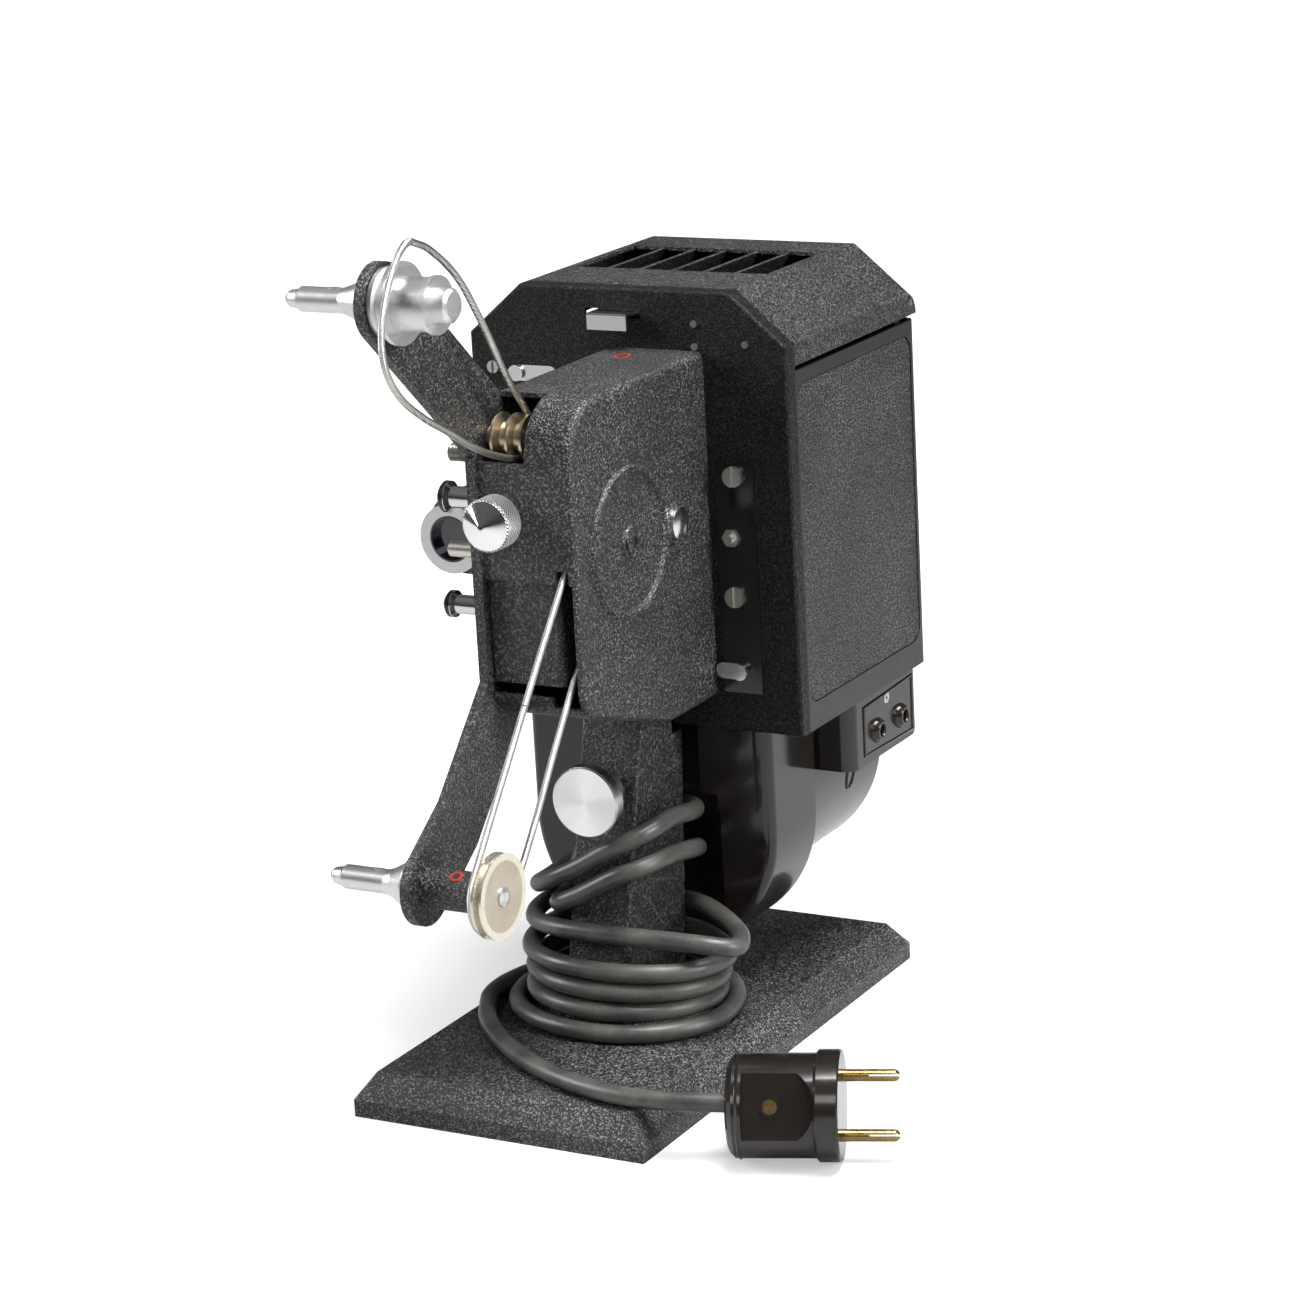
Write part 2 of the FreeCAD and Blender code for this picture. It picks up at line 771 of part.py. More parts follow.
def arm_screws():
    screws = []
    for y, z in arm_screw_places():
        shank = rod("x", y, z, ARM_SCREW_R, PLATE_MIN_X, PLATE_MAX_X)
        head = rod("x", y, z, ARM_HEAD_R, PLATE_MIN_X - HEAD_H, PLATE_MIN_X)
        slot = box(
            PLATE_MIN_X - HEAD_H - CUT, PLATE_MIN_X - HEAD_H + SLOT_D,
            y - SLOT_W / 2, y + SLOT_W / 2, z - ARM_HEAD_R, z + ARM_HEAD_R,
        )
        screws.append(joined(shank, head).cut(slot))
    return screws


# drive cover, box and floor


def cover_face():
    return outline(
        "x",
        [
            (HOUSE_FRONT, COVER_TOP), (COVER_FRONT, COVER_TOP, COVER_NOSE_R),
            (COVER_FRONT, COVER_CHIN_Z, COVER_CHIN_R),
            (COVER_KEEL_Y, COVER_BOTTOM, COVER_KEEL_R), (HOUSE_FRONT, COVER_BOTTOM),
        ],
    )


def cover_inside(thickness, end):
    """The room within the outline, left open at the rear."""
    inner = raise_face(cover_face().makeOffset2D(-thickness), "x", PLATE_MAX_X - CUT, end)
    rear = box(
        PLATE_MAX_X - CUT, end, HOUSE_FRONT - 2 * thickness, HOUSE_FRONT + CUT,
        COVER_BOTTOM + thickness, COVER_TOP - thickness,
    )
    return joined(inner, rear)


def drive_cover():
    blank = raise_face(cover_face(), "x", PLATE_MAX_X, COVER_MAX_X)
    blank = round_edges(
        blank, COVER_EDGE_R,
        lambda c, e: abs(c.x - COVER_MAX_X) < RUN_FIT and c.y < HOUSE_FRONT - CUT,
    )
    cover = blank.cut(cover_inside(COVER_T, COVER_MAX_X - COVER_T))
    rail = COVER_MAX_X - FRONT_RAIL
    low_front = box(
        PLATE_MAX_X - CUT, rail, COVER_FRONT - CUT, OPENING_Y, COVER_BOTTOM - CUT, FRONT_LIP_Z
    )
    low_rear = box(
        PLATE_MAX_X - CUT, rail, COVER_FRONT - CUT, HOUSE_FRONT + CUT,
        COVER_BOTTOM - CUT, FLOOR_TOP,
    )
    pulley_opening = box(
        PLATE_MAX_X - CUT, OPENING_MAX_X, COVER_FRONT - CUT, OPENING_Y, OPENING_Z, COVER_TOP + CUT
    )
    belt_notch = box(
        TAKEUP_X - 2 * BELT_R, TAKEUP_X + 2 * BELT_R, COVER_FRONT - CUT, BOX_FRONT + CUT,
        FRONT_LIP_Z - CUT, FRONT_LIP_Z + 4 * BELT_R,
    )
    for cutter in (low_front, low_rear, pulley_opening, belt_notch):
        cover = cover.cut(cutter)
    ring = turned(
        "x", RING_Y, RING_Z,
        [
            (COVER_MAX_X - COVER_T / 2, RING_R + RING_W / 2), (COVER_MAX_X, RING_R + RING_W / 2),
            (COVER_MAX_X + RING_H, RING_R + RING_W / 4), (COVER_MAX_X + RING_H, RING_R - RING_W / 4),
            (COVER_MAX_X, RING_R - RING_W / 2), (COVER_MAX_X - COVER_T / 2, RING_R - RING_W / 2),
        ],
    )
    boss = rod("x", RING_Y, RING_Z, RING_BOSS_R, COVER_MAX_X - COVER_T / 2, COVER_MAX_X + RING_BOSS_H)
    collar = rod(
        "x", BUTTON_Y, BUTTON_Z, BUTTON_COLLAR_R, COVER_MAX_X - COVER_T / 2, COVER_MAX_X + BUTTON_COLLAR_T
    )
    cover = joined(cover, ring, boss, collar)
    sunk = COVER_MAX_X + RING_BOSS_H / 2
    cover = cover.cut(rod("x", RING_Y, RING_Z, RING_BOSS_R / 2, sunk, sunk + 2 * RING_BOSS_H))
    cover = cover.cut(
        rod("x", BUTTON_Y, BUTTON_Z, BUTTON_R + RUN_FIT, COVER_MAX_X - 2 * COVER_T, COVER_MAX_X + 2 * CUT)
    )
    return cover.cut(rod("y", KNOB_X, KNOB_Z, SHAFT_R + GAP, COVER_FRONT - CUT, COVER_FRONT + 2 * COVER_T))


def head_floor():
    """Closes the head below, with a lip up the front and a way through for the column's ears."""
    shell = raise_face(cover_face(), "x", PLATE_MAX_X, COVER_MAX_X - FRONT_RAIL)
    inner = raise_face(cover_face().makeOffset2D(-FLOOR_T), "x", PLATE_MAX_X - CUT, COVER_MAX_X)
    rear = box(
        PLATE_MAX_X - CUT, COVER_MAX_X, 0, HOUSE_FRONT + CUT, COVER_BOTTOM + FLOOR_T, COVER_TOP
    )
    floor = shell.cut(joined(inner, rear))
    floor = floor.cut(
        box(PLATE_MAX_X - CUT, COVER_MAX_X, COVER_FRONT - CUT, HOUSE_FRONT + CUT, FLOOR_TOP, COVER_TOP + CUT)
    )
    ears = ear_places()
    way = box(
        PLATE_MAX_X - CUT, ears[1][1] + 2 * CUT, PIVOT_Y - EAR_R - 4 * CUT, HOUSE_FRONT + CUT,
        COVER_BOTTOM - CUT, COVER_CHIN_Z,
    )
    notch = box(
        TAKEUP_X - 6 * BELT_R, COVER_MAX_X, COVER_FRONT - CUT, COVER_FRONT + 3 * FLOOR_T,
        FLOOR_TOP - FLOOR_NOTCH, FLOOR_TOP + CUT,
    )
    return floor.cut(way).cut(notch)


def belt_box():
    shell = box(BOX_MIN_X, BOX_MAX_X, BOX_FRONT, BOX_FRONT + BOX_D, BOX_BOTTOM, BOX_TOP)
    shell = round_edges(
        shell, 2 * SHEET, lambda c, e: abs(c.y - BOX_FRONT) < RUN_FIT and abs(c.x - BOX_MAX_X) < RUN_FIT
    )
    inner = box(
        BOX_MIN_X + SHEET, BOX_MAX_X - SHEET, BOX_FRONT + SHEET, BOX_FRONT + BOX_D + CUT,
        BOX_BOTTOM + SHEET, BOX_TOP - SHEET,
    )
    foot = box(PLATE_MAX_X, BOX_MIN_X, BOX_FRONT + SHEET, BOX_FRONT + BOX_D, BOX_BOTTOM, BOX_TOP)
    return joined(shell.cut(inner), foot)


def push_button():
    face = COVER_MAX_X + BUTTON_OUT
    stem = rod("x", BUTTON_Y, BUTTON_Z, BUTTON_R, COVER_MAX_X - BUTTON_IN, face - CUT)
    dome_r = (BUTTON_R ** 2 + CUT ** 2) / (2 * CUT)
    dome = ball(face - dome_r, BUTTON_Y, BUTTON_Z, dome_r)
    cap = dome.common(rod("x", BUTTON_Y, BUTTON_Z, BUTTON_R, face - CUT, face + CUT))
    return joined(stem, cap)


# reel spindles


def spindle_nose(tip):
    """The profile of a spindle's round nose, from its tip to the full shaft."""
    return [
        (tip, 0), (tip, SPINDLE_NOSE_R / 2), (tip + SPINDLE_NOSE / 4, SPINDLE_NOSE_R * 0.85),
        (tip + SPINDLE_NOSE * 0.8, SPINDLE_NOSE_R), (tip + SPINDLE_NOSE, SPINDLE_R),
    ]


def with_key(shape, y, z, cone):
    """A reel key stands in a short slot beside the cone."""
    key_end = cone - SPINDLE_KEY_W
    slot = box(
        key_end - SPINDLE_KEY_L, key_end, y - SPINDLE_KEY_W, y + SPINDLE_KEY_W,
        z + SPINDLE_R - SPINDLE_NOTCH_D, z + 2 * SPINDLE_R,
    )
    key = box(
        key_end - SPINDLE_KEY_L + CUT, key_end, y - SPINDLE_KEY_W / 2, y + SPINDLE_KEY_W / 2,
        z, z + SPINDLE_R + SPINDLE_KEY_H,
    )
    return joined(shape.cut(slot), key)


def upper_spindle():
    inner = PLATE_MIN_X - GAP
    outer = PLATE_MAX_X + GAP
    groove = (outer + UP_RING_END) / 2
    shape = turned(
        "x", UP_Y, UP_Z,
        spindle_nose(UP_TIP) + [
            (UP_CONE, SPINDLE_R), (UP_CONE + AXLE_R, SPINDLE_R + CUT), (inner, UP_CONE_R),
            (inner, AXLE_R), (outer, AXLE_R), (outer, UP_RING_R),
            (groove - CUT, UP_RING_R), (groove, UP_RING_R - CUT), (groove + CUT, UP_RING_R),
            (UP_RING_END, UP_RING_R), (UP_RING_END, UP_FLANGE_R), (UP_FLANGE_END, UP_FLANGE_R),
            (UP_FLANGE_END, UP_HUB_R), (UP_HUB_END, UP_HUB_R), (UP_HUB_END, UP_LIP_R),
            (UP_LIP_END, UP_LIP_R), (UP_LIP_END, UP_STUB_R), (UP_STUB_END - CUT, UP_STUB_R),
            (UP_STUB_END, UP_STUB_R - CUT), (UP_STUB_END, 0),
        ],
    )
    return with_key(shape, UP_Y, UP_Z, UP_CONE)


def lower_spindle():
    inner = PLATE_MIN_X - GAP
    pulley_end = REEL_PULLEY_MIN_X + REEL_PULLEY_T
    shape = turned(
        "x", LOW_Y, LOW_Z,
        spindle_nose(LOW_TIP) + [
            (LOW_CONE, SPINDLE_R), (LOW_CONE + AXLE_R, SPINDLE_R + CUT),
            (inner - 3 * CUT, LOW_CONE_R), (inner, LOW_CONE_R),
            (inner, AXLE_R), (LOW_BOSS_END + GAP, AXLE_R), (LOW_BOSS_END + GAP, LOW_BOSS_R - CUT),
            (REEL_PULLEY_MIN_X, LOW_BOSS_R - CUT), (REEL_PULLEY_MIN_X, AXLE_R), (pulley_end, AXLE_R),
            (pulley_end, REEL_RIVET_R), (pulley_end + CUT / 2, REEL_RIVET_R),
            (pulley_end + CUT, REEL_RIVET_R / 2), (pulley_end + CUT, 0),
        ],
    )
    return with_key(shape, LOW_Y, LOW_Z, LOW_CONE)


def reel_pulley():
    start = REEL_PULLEY_MIN_X
    end = start + REEL_PULLEY_T
    middle = (start + end) / 2
    lip = REEL_PULLEY_T / 5
    return turned(
        "x", LOW_Y, LOW_Z,
        [
            (start, AXLE_R + RUN_FIT), (start, REEL_PULLEY_R), (start + lip, REEL_PULLEY_R),
            (middle - lip / 2, REEL_PULLEY_R - REEL_GROOVE), (middle + lip / 2, REEL_PULLEY_R - REEL_GROOVE),
            (end - lip, REEL_PULLEY_R), (end, REEL_PULLEY_R), (end, AXLE_R + RUN_FIT),
        ],
    )


# shafts, wheels and belts inside the head


def groove_profile(centre, groove_r, rim_r):
    """A belt groove between two rims, as a stretch of a turned profile."""
    half = BELT_R + BELT_CLEAR + TWIN_RIM_T
    return [
        (centre - half, rim_r), (centre - half + TWIN_RIM_T / 2, rim_r),
        (centre - BELT_R / 2, groove_r), (centre + BELT_R / 2, groove_r),
        (centre + half - TWIN_RIM_T / 2, rim_r), (centre + half, rim_r),
    ]


def belt_radius(groove_r):
    """The radius of the belt's centre line round a groove."""
    return groove_r + BELT_CLEAR + BELT_R


def main_shaft():
    """The shaft in the frame plate and outer bearing, with its worm wheel and two pulleys."""
    wheel_end = WHEEL_MIN_X + WHEEL_T
    end = TAKEUP_X + 2 * BELT_R
    return turned(
        "x", MAIN_Y, MAIN_Z,
        [
            (PLATE_MIN_X, 0), (PLATE_MIN_X, SHAFT_R), (PLATE_MAX_X + GAP, SHAFT_R),
            (PLATE_MAX_X + GAP, 2 * SHAFT_R), (WHEEL_MIN_X, 2 * SHAFT_R),
            (WHEEL_MIN_X, WHEEL_R), (wheel_end, WHEEL_R), (wheel_end, SHAFT_R),
            (SMALL_X - 2 * BELT_R - CUT, SHAFT_R),
        ]
        + groove_profile(SMALL_X, SMALL_R, SMALL_R + RIM)
        + groove_profile(TAKEUP_X, TAKEUP_R, TAKEUP_R + RIM)
        + [(end + CUT, TAKEUP_R - RIM), (end + CUT, 0)],
    )


def twin_pulley():
    profile = [
        (PLATE_MIN_X, 0), (PLATE_MIN_X, SHAFT_R), (PLATE_MAX_X + GAP, SHAFT_R),
        (PLATE_MAX_X + GAP, SHAFT_R + CUT), (TWIN_MIN_X, SHAFT_R + CUT),
    ]
    for index in range(3):
        start = TWIN_MIN_X + index * TWIN_STEP
        profile += [(start, TWIN_RIM_R), (start + TWIN_RIM_T, TWIN_RIM_R)]
        if index < 2:
            middle = start + (TWIN_STEP + TWIN_RIM_T) / 2
            profile += [(middle - BELT_R, TWIN_GROOVE_R), (middle + BELT_R, TWIN_GROOVE_R)]
    end = TWIN_MIN_X + 2 * TWIN_STEP + TWIN_RIM_T
    profile += [(end, SHAFT_R), (SMALL_X - 2 * BELT_R - CUT, SHAFT_R)]
    profile += groove_profile(SMALL_X, SHAFT_R, SHAFT_R + RIM)
    profile += [(SMALL_X + 3 * BELT_R, SHAFT_R), (SMALL_X + 3 * BELT_R, 0)]
    return turned("x", TWIN_Y, TWIN_Z, profile)


def shutter_shaft():
    """Runs from the inching knob through the worm to the shutter and the motor belt's pulley."""
    half_worm = WORM_L / 2
    profile = [
        (KNOB_END + 2 * CUT, 0), (KNOB_END + 2 * CUT, SHAFT_R), (MAIN_Y - half_worm, SHAFT_R),
        (MAIN_Y - half_worm, WORM_R), (MAIN_Y + half_worm, WORM_R), (MAIN_Y + half_worm, SHAFT_R),
        (MOTOR_BELT_Y - 3 * BELT_R, SHAFT_R),
    ]
    profile += groove_profile(MOTOR_BELT_Y, SHUTTER_PULLEY_R, SHUTTER_PULLEY_R + RIM)
    profile += [(MOTOR_BELT_Y + 3 * BELT_R, SHAFT_R), (SHUTTER_SHAFT_END, SHAFT_R), (SHUTTER_SHAFT_END, 0)]
    return turned("y", KNOB_X, KNOB_Z, profile)


def inching_knob():
    neck = KNOB_END + KNOB_L
    rim = KNOB_END + KNOB_L / 4
    knob = turned(
        "y", KNOB_X, KNOB_Z,
        [
            (KNOB_END, 0), (rim, KNOB_R - SHEET / 2), (rim + SHEET / 2, KNOB_R),
            (neck - 2 * SHEET, KNOB_R), (neck - SHEET, KNOB_R - SHEET),
            (neck - 2 * SHEET, 2 * SHAFT_R), (neck, 2 * SHAFT_R), (neck, 0),
        ],
    )
    return knob.cut(rod("y", KNOB_X, KNOB_Z, SHAFT_R + RUN_FIT, KNOB_END + 2 * CUT, neck + CUT))


def shutter_disc():
    """Three blades on a hub."""
    disc = rod("y", KNOB_X, KNOB_Z, SHUTTER_R, SHUTTER_Y, SHUTTER_Y + SHUTTER_T)
    for index in range(SHUTTER_BLADES):
        angle = 360 * index / SHUTTER_BLADES
        gap = Part.makeCylinder(
            2 * SHUTTER_R, 2 * CUT + SHUTTER_T, Vector(0, -CUT, 0), AXES["y"], 180 / SHUTTER_BLADES
        )
        gap = gap.cut(Part.makeCylinder(2 * SHUTTER_HUB_R, SHUTTER_R, Vector(0, -2 * CUT, 0), AXES["y"]))
        gap.rotate(Vector(0, 0, 0), AXES["y"], angle)
        disc = disc.cut(gap.translated(Vector(KNOB_X, SHUTTER_Y, KNOB_Z)))
    hub = rod("y", KNOB_X, KNOB_Z, SHUTTER_HUB_R, SHUTTER_Y, SHUTTER_Y + 4 * CUT)
    bore = rod("y", KNOB_X, KNOB_Z, SHAFT_R + RUN_FIT, SHUTTER_Y - CUT, SHUTTER_Y + 5 * CUT)
    return joined(disc, hub).cut(bore)


def bearing_blocks():
    """Two blocks for the shutter shaft and a plate on pillars for the two cross shafts."""
    blocks = []
    for start, length in ((COVER_FRONT + 2 * COVER_T, 5.0), (-4.0, 7.0)):
        end = start + length
        block = box(
            PLATE_MAX_X, KNOB_X + 2 * SHAFT_R, start, end, KNOB_Z - 2 * SHAFT_R, KNOB_Z + 2 * SHAFT_R
        )
        blocks.append(block.cut(rod("y", KNOB_X, KNOB_Z, SHAFT_R + RUN_FIT, start - CUT, end + CUT)))
    plate_start = OPENING_MAX_X + CUT
    plate = prism(
        "x",
        [
            (MAIN_Y - 9, MAIN_Z - 8), (MAIN_Y + 16, MAIN_Z - 8), (MAIN_Y + 16, TWIN_Z - 4),
            (TWIN_Y + 10, TWIN_Z + 4, 4), (TWIN_Y - 4, TWIN_Z + 4, 4), (TWIN_Y - 4, MAIN_Z + 20),
        ],
        plate_start, plate_start + BEARING_PLATE_T,
    )
    pillars = ((MAIN_Y + 13, MAIN_Z - 5), (MAIN_Y + 13, TWIN_Z - 8), (TWIN_Y - 1, MAIN_Z + 24))
    for y, z in pillars:
        plate = plate.fuse(rod("x", y, z, SHAFT_R, PLATE_MAX_X, plate_start))
    plate = plate.removeSplitter()
    for y, z in ((MAIN_Y, MAIN_Z), (TWIN_Y, TWIN_Z)):
        plate = plate.cut(rod("x", y, z, SHAFT_R + RUN_FIT, plate_start - CUT, plate_start + 4 * CUT))
    return blocks + [plate]


# film side


def lens_barrel():
    """The barrel with its two lens elements, front first."""
    rear = LENS_FRONT + LENS_L
    barrel = tube("y", LENS_X, LENS_Z, LENS_R, LENS_BORE, LENS_FRONT, rear)
    seat = LENS_BORE + CUT
    front_seat = rod("y", LENS_X, LENS_Z, seat, LENS_FRONT + 3 * CUT, LENS_FRONT + 6 * CUT)
    rear_seat = rod("y", LENS_X, LENS_Z, seat, rear - 6 * CUT, rear - 3 * CUT)
    glass = seat - RUN_FIT
    front = rod("y", LENS_X, LENS_Z, glass, LENS_FRONT + 3 * CUT, LENS_FRONT + 6 * CUT)
    back = rod("y", LENS_X, LENS_Z, glass, rear - 6 * CUT, rear - 3 * CUT)
    return [barrel.cut(front_seat).cut(rear_seat), front, back]


def lens_holder():
    """A sleeve for the lens on a web from the frame plate."""
    end = LENS_SLEEVE_FRONT + LENS_SLEEVE_L
    outer = LENS_R + LENS_SLEEVE_T
    sleeve = rod("y", LENS_X, LENS_Z, outer, LENS_SLEEVE_FRONT, end)
    web = box(LENS_X, PLATE_MIN_X, LENS_SLEEVE_FRONT, end, LENS_Z - outer / 2, LENS_Z + outer / 2)
    bore = rod("y", LENS_X, LENS_Z, LENS_R + RUN_FIT, LENS_SLEEVE_FRONT - CUT, end + CUT)
    return joined(sleeve, web).cut(bore)


def press_pin_places():
    half_w = PRESS_W / 2 - 2 * PRESS_PIN_R
    half_l = PRESS_L / 2 - 2 * PRESS_PIN_R
    return ((LENS_X - half_w, LENS_Z + half_l), (LENS_X + half_w, LENS_Z - half_l))


def gate_block():
    """The fixed side of the film gate, with the light way through it and the claw's slot."""
    block = box(GATE_MIN_X, PLATE_MIN_X, GATE_FRONT, HOUSE_FRONT, GATE_LOW, GATE_HIGH)
    block = block.cut(
        box(
            LENS_X - APERTURE_W / 2, LENS_X + APERTURE_W / 2, GATE_FRONT - CUT, GATE_FRONT + 4 * CUT,
            LENS_Z - APERTURE_H / 2, LENS_Z + APERTURE_H / 2,
        )
    )
    block = block.cut(rod("y", LENS_X, LENS_Z, BEAM_R, GATE_FRONT + 3 * CUT, HOUSE_FRONT + CUT))
    slot = box(
        CLAW_X - CLAW_W / 2 - GAP, CLAW_X + CLAW_W / 2 + GAP, GATE_FRONT - CUT, GATE_FRONT + 10 * CUT,
        GATE_LOW + SHEET, claw_top() + CLAW_TRAVEL + CUT,
    )
    block = block.cut(slot)
    for x, z in press_pin_places():
        pin = rod("y", x, z, PRESS_PIN_R, GATE_FRONT - 2.6 * PRESS_T, GATE_FRONT)
        block = block.fuse(pin)
    return block.removeSplitter()


def claw_top():
    return LENS_Z - APERTURE_H - BEAM_R / 2


def claw():
    """The pull-down claw at the top of its slot's lower half, its tooth at the film plane."""
    body = box(
        CLAW_X - CLAW_W / 2, CLAW_X + CLAW_W / 2, GATE_FRONT + 2 * CUT, GATE_FRONT + 10 * CUT - GAP,
        GATE_LOW + SHEET + GAP, claw_top(),
    )
    tooth = box(
        CLAW_X - CLAW_W / 4, CLAW_X + CLAW_W / 4, GATE_FRONT - GAP, GATE_FRONT + 3 * CUT,
        claw_top() - 2 * CUT, claw_top(),
    )
    return joined(body, tooth)


def pressure_plate():
    film_gap = GATE_FRONT - CUT
    plate = box(
        LENS_X - PRESS_W / 2, LENS_X + PRESS_W / 2, film_gap - PRESS_T, film_gap,
        LENS_Z - PRESS_L / 2, LENS_Z + PRESS_L / 2,
    )
    plate = plate.cut(
        box(
            LENS_X - APERTURE_W, LENS_X + APERTURE_W, film_gap - PRESS_T - CUT, film_gap + CUT,
            LENS_Z - APERTURE_H, LENS_Z + APERTURE_H,
        )
    )
    for x, z in press_pin_places():
        plate = plate.cut(rod("y", x, z, PRESS_PIN_R + RUN_FIT, film_gap - PRESS_T - CUT, film_gap + CUT))
    return plate


def film_roller(name):
    y, z, flange_r, barrel_r = ROLLERS[name]
    start = ROLLER_END + CUT + GAP
    end = start + ROLLER_L
    bore = ROLLER_STUD_R + RUN_FIT
    lip = 2 * SHEET
    return turned(
        "x", y, z,
        [
            (start, bore), (start, flange_r - SHEET / 2), (start + SHEET / 2, flange_r),
            (start + lip, flange_r), (start + lip + SHEET, barrel_r), (end - lip - SHEET, barrel_r),
            (end - lip, flange_r), (end, flange_r), (end, bore),
        ],
    )


def film_guides():
    """The rollers' studs, the smooth guide pin and the threaded stud, all set in the frame plate."""
    guides = []
    for y, z, flange_r, barrel_r in ROLLERS.values():
        stud = rod("x", y, z, ROLLER_STUD_R, ROLLER_END, PLATE_MIN_X)
        head = rod("x", y, z, barrel_r - CUT, ROLLER_END, ROLLER_END + CUT)
        guides.append(joined(stud, head))
    y, z, radius, end = GUIDE_PIN
    guides.append(
        turned(
            "x", y, z,
            [
                (end, 0), (end, radius - CUT / 2), (end + CUT / 2, radius),
                (PLATE_MIN_X, radius), (PLATE_MIN_X, 0),
            ],
        )
    )
    y, z, radius, end = GUIDE_STUD
    profile = [(end, 0)]
    place = end
    while place < PLATE_MIN_X - 2 * CUT:
        profile += [(place, radius - CUT / 2), (place + CUT / 2, radius)]
        place += CUT
    profile += [(place, radius - CUT / 2), (PLATE_MIN_X, radius - CUT / 2), (PLATE_MIN_X, 0)]
    guides.append(turned("x", y, z, profile))
    return guides


# lamphouse


def house_corners(inset, low, high):
    """The lamphouse's section from the front, with its two chamfers."""
    half = HOUSE_W / 2 - inset
    slope = math.hypot(CHAMFER_W, CHAMFER_H)
    side = high + inset - CHAMFER_H - inset * (slope - CHAMFER_H) / CHAMFER_W
    top = HOUSE_W / 2 - CHAMFER_W - inset * (slope - CHAMFER_W) / CHAMFER_H
    return [(-half, low), (half, low), (half, side), (top, high), (-top, high), (-half, side)]


def house_front():
    end = HOUSE_FRONT + FRONT_FLANGE
    panel = prism("y", house_corners(0, HOUSE_LOW, HOUSE_TOP), HOUSE_FRONT, end)
    panel = round_edges(panel, SHEET, lambda c, e: abs(c.y - HOUSE_FRONT) < RUN_FIT)
    inner = prism(
        "y", house_corners(SHEET, HOUSE_LOW + SHEET, HOUSE_TOP - SHEET), HOUSE_FRONT + SHEET, end + CUT
    )
    panel = panel.cut(inner)
    panel = panel.cut(rod("y", LENS_X, LENS_Z, BEAM_R, HOUSE_FRONT - CUT, HOUSE_FRONT + 2 * CUT))
    panel = panel.cut(rod("y", KNOB_X, KNOB_Z, 2 * SHAFT_R, HOUSE_FRONT - CUT, HOUSE_FRONT + 2 * CUT))
    half_slot = LATCH_SLOT_W / 2
    panel = panel.cut(
        box(
            LATCH_SLOT_X - half_slot, LATCH_SLOT_X + half_slot, HOUSE_FRONT - CUT, HOUSE_FRONT + 2 * CUT,
            LATCH_TOP - SHEET - LATCH_TRAVEL - GAP, LATCH_TOP + 2 * GAP,
        )
    )
    for x, z, radius in panel_holes():
        panel = panel.cut(rod("y", x, z, radius, HOUSE_FRONT - CUT, HOUSE_FRONT + 2 * CUT))
    return panel


def panel_holes():
    """The holes of everything that is screwed or riveted to the front panel."""
    holes = [(x, z, SCREW_HOLE_R) for x, z in STRIP_SCREWS]
    holes.append(HEX_STUD + (SCREW_HOLE_R,))
    holes.append(PANEL_SCREW + (SCREW_HOLE_R,))
    holes.append((CLUTCH_X, CLUTCH_Z, SCREW_HOLE_R))
    holes.append((TOP_LEVER_X, TOP_LEVER_Z, SCREW_HOLE_R))
    return holes + [(x, z, RIVET_R / 2 + RUN_FIT) for x, z in RIVETS]


def wrap_corners(inset, start):
    """The bent sheet's outline from above, open to the front panel."""
    half = HOUSE_W / 2 - inset
    rear = HOUSE_REAR - inset
    bend = WRAP_BEND - inset
    return [(-half, start), (half, start), (half, rear, bend), (-half, rear, bend)]


def house_wrap():
    """Both side walls and the rear in one bent sheet, with the side panels' sunk seats and hinge ears."""
    half = HOUSE_W / 2
    start = HOUSE_FRONT + FRONT_FLANGE
    low = HOUSE_LOW + SHEET
    outer = prism("z", wrap_corners(0, start), low, WALL_TOP)
    inner = prism("z", wrap_corners(WALL_T, start - CUT), low - CUT, WALL_TOP + CUT)
    wrap = outer.cut(inner)
    for side in (-1, 1):
        deep = side * (half - PANEL_INSET)
        out = side * (half + CUT)
        wrap = wrap.cut(side_panel_prism(GAP, min(deep, out), max(deep, out)))
        ear_out = side * (half - WALL_T)
        ear_in = side * (half - WALL_T - HINGE_EAR_T)
        ear_min = min(ear_out, ear_in)
        ear_max = max(ear_out, ear_in)
        ear = hinge_ear(ear_min, ear_max)
        wrap = wrap.fuse(ear)
    wrap = wrap.removeSplitter()
    return wrap.cut(rod("x", HINGE_Y, HINGE_Z, HINGE_R + RUN_FIT, -half, half))


def hinge_ear(start, end):
    """A hooked ear: the lid's rear wall swings round below its end."""
    stem = HINGE_Y - HINGE_STEM_BACK
    low = HINGE_Z - HINGE_EAR_R
    high = HINGE_Z + HINGE_EAR_R
    hook = prism(
        "x",
        [
            (stem - HINGE_STEM_W, WALL_TOP - HINGE_STEM_DROP), (stem, WALL_TOP - HINGE_STEM_DROP),
            (stem, low), (HINGE_Y, low), (HINGE_Y, high), (stem - HINGE_STEM_W, high),
        ],
        start, end,
    )
    return hook.fuse(rod("x", HINGE_Y, HINGE_Z, HINGE_EAR_R, start, end))


def side_panel_prism(grow, start, end):
    corners = [
        (PANEL_MIN_Y - grow, PANEL_LOW - grow, PANEL_R), (PANEL_MAX_Y + grow, PANEL_LOW - grow, PANEL_R),
        (PANEL_MAX_Y + grow, PANEL_HIGH + grow, PANEL_R), (PANEL_MIN_Y - grow, PANEL_HIGH + grow, PANEL_R),
    ]
    return prism("x", corners, start, end)


def side_panels():
    seat = HOUSE_W / 2 - PANEL_INSET
    return [
        side_panel_prism(0, seat, seat + PANEL_T),
        side_panel_prism(0, -seat - PANEL_T, -seat),
    ]


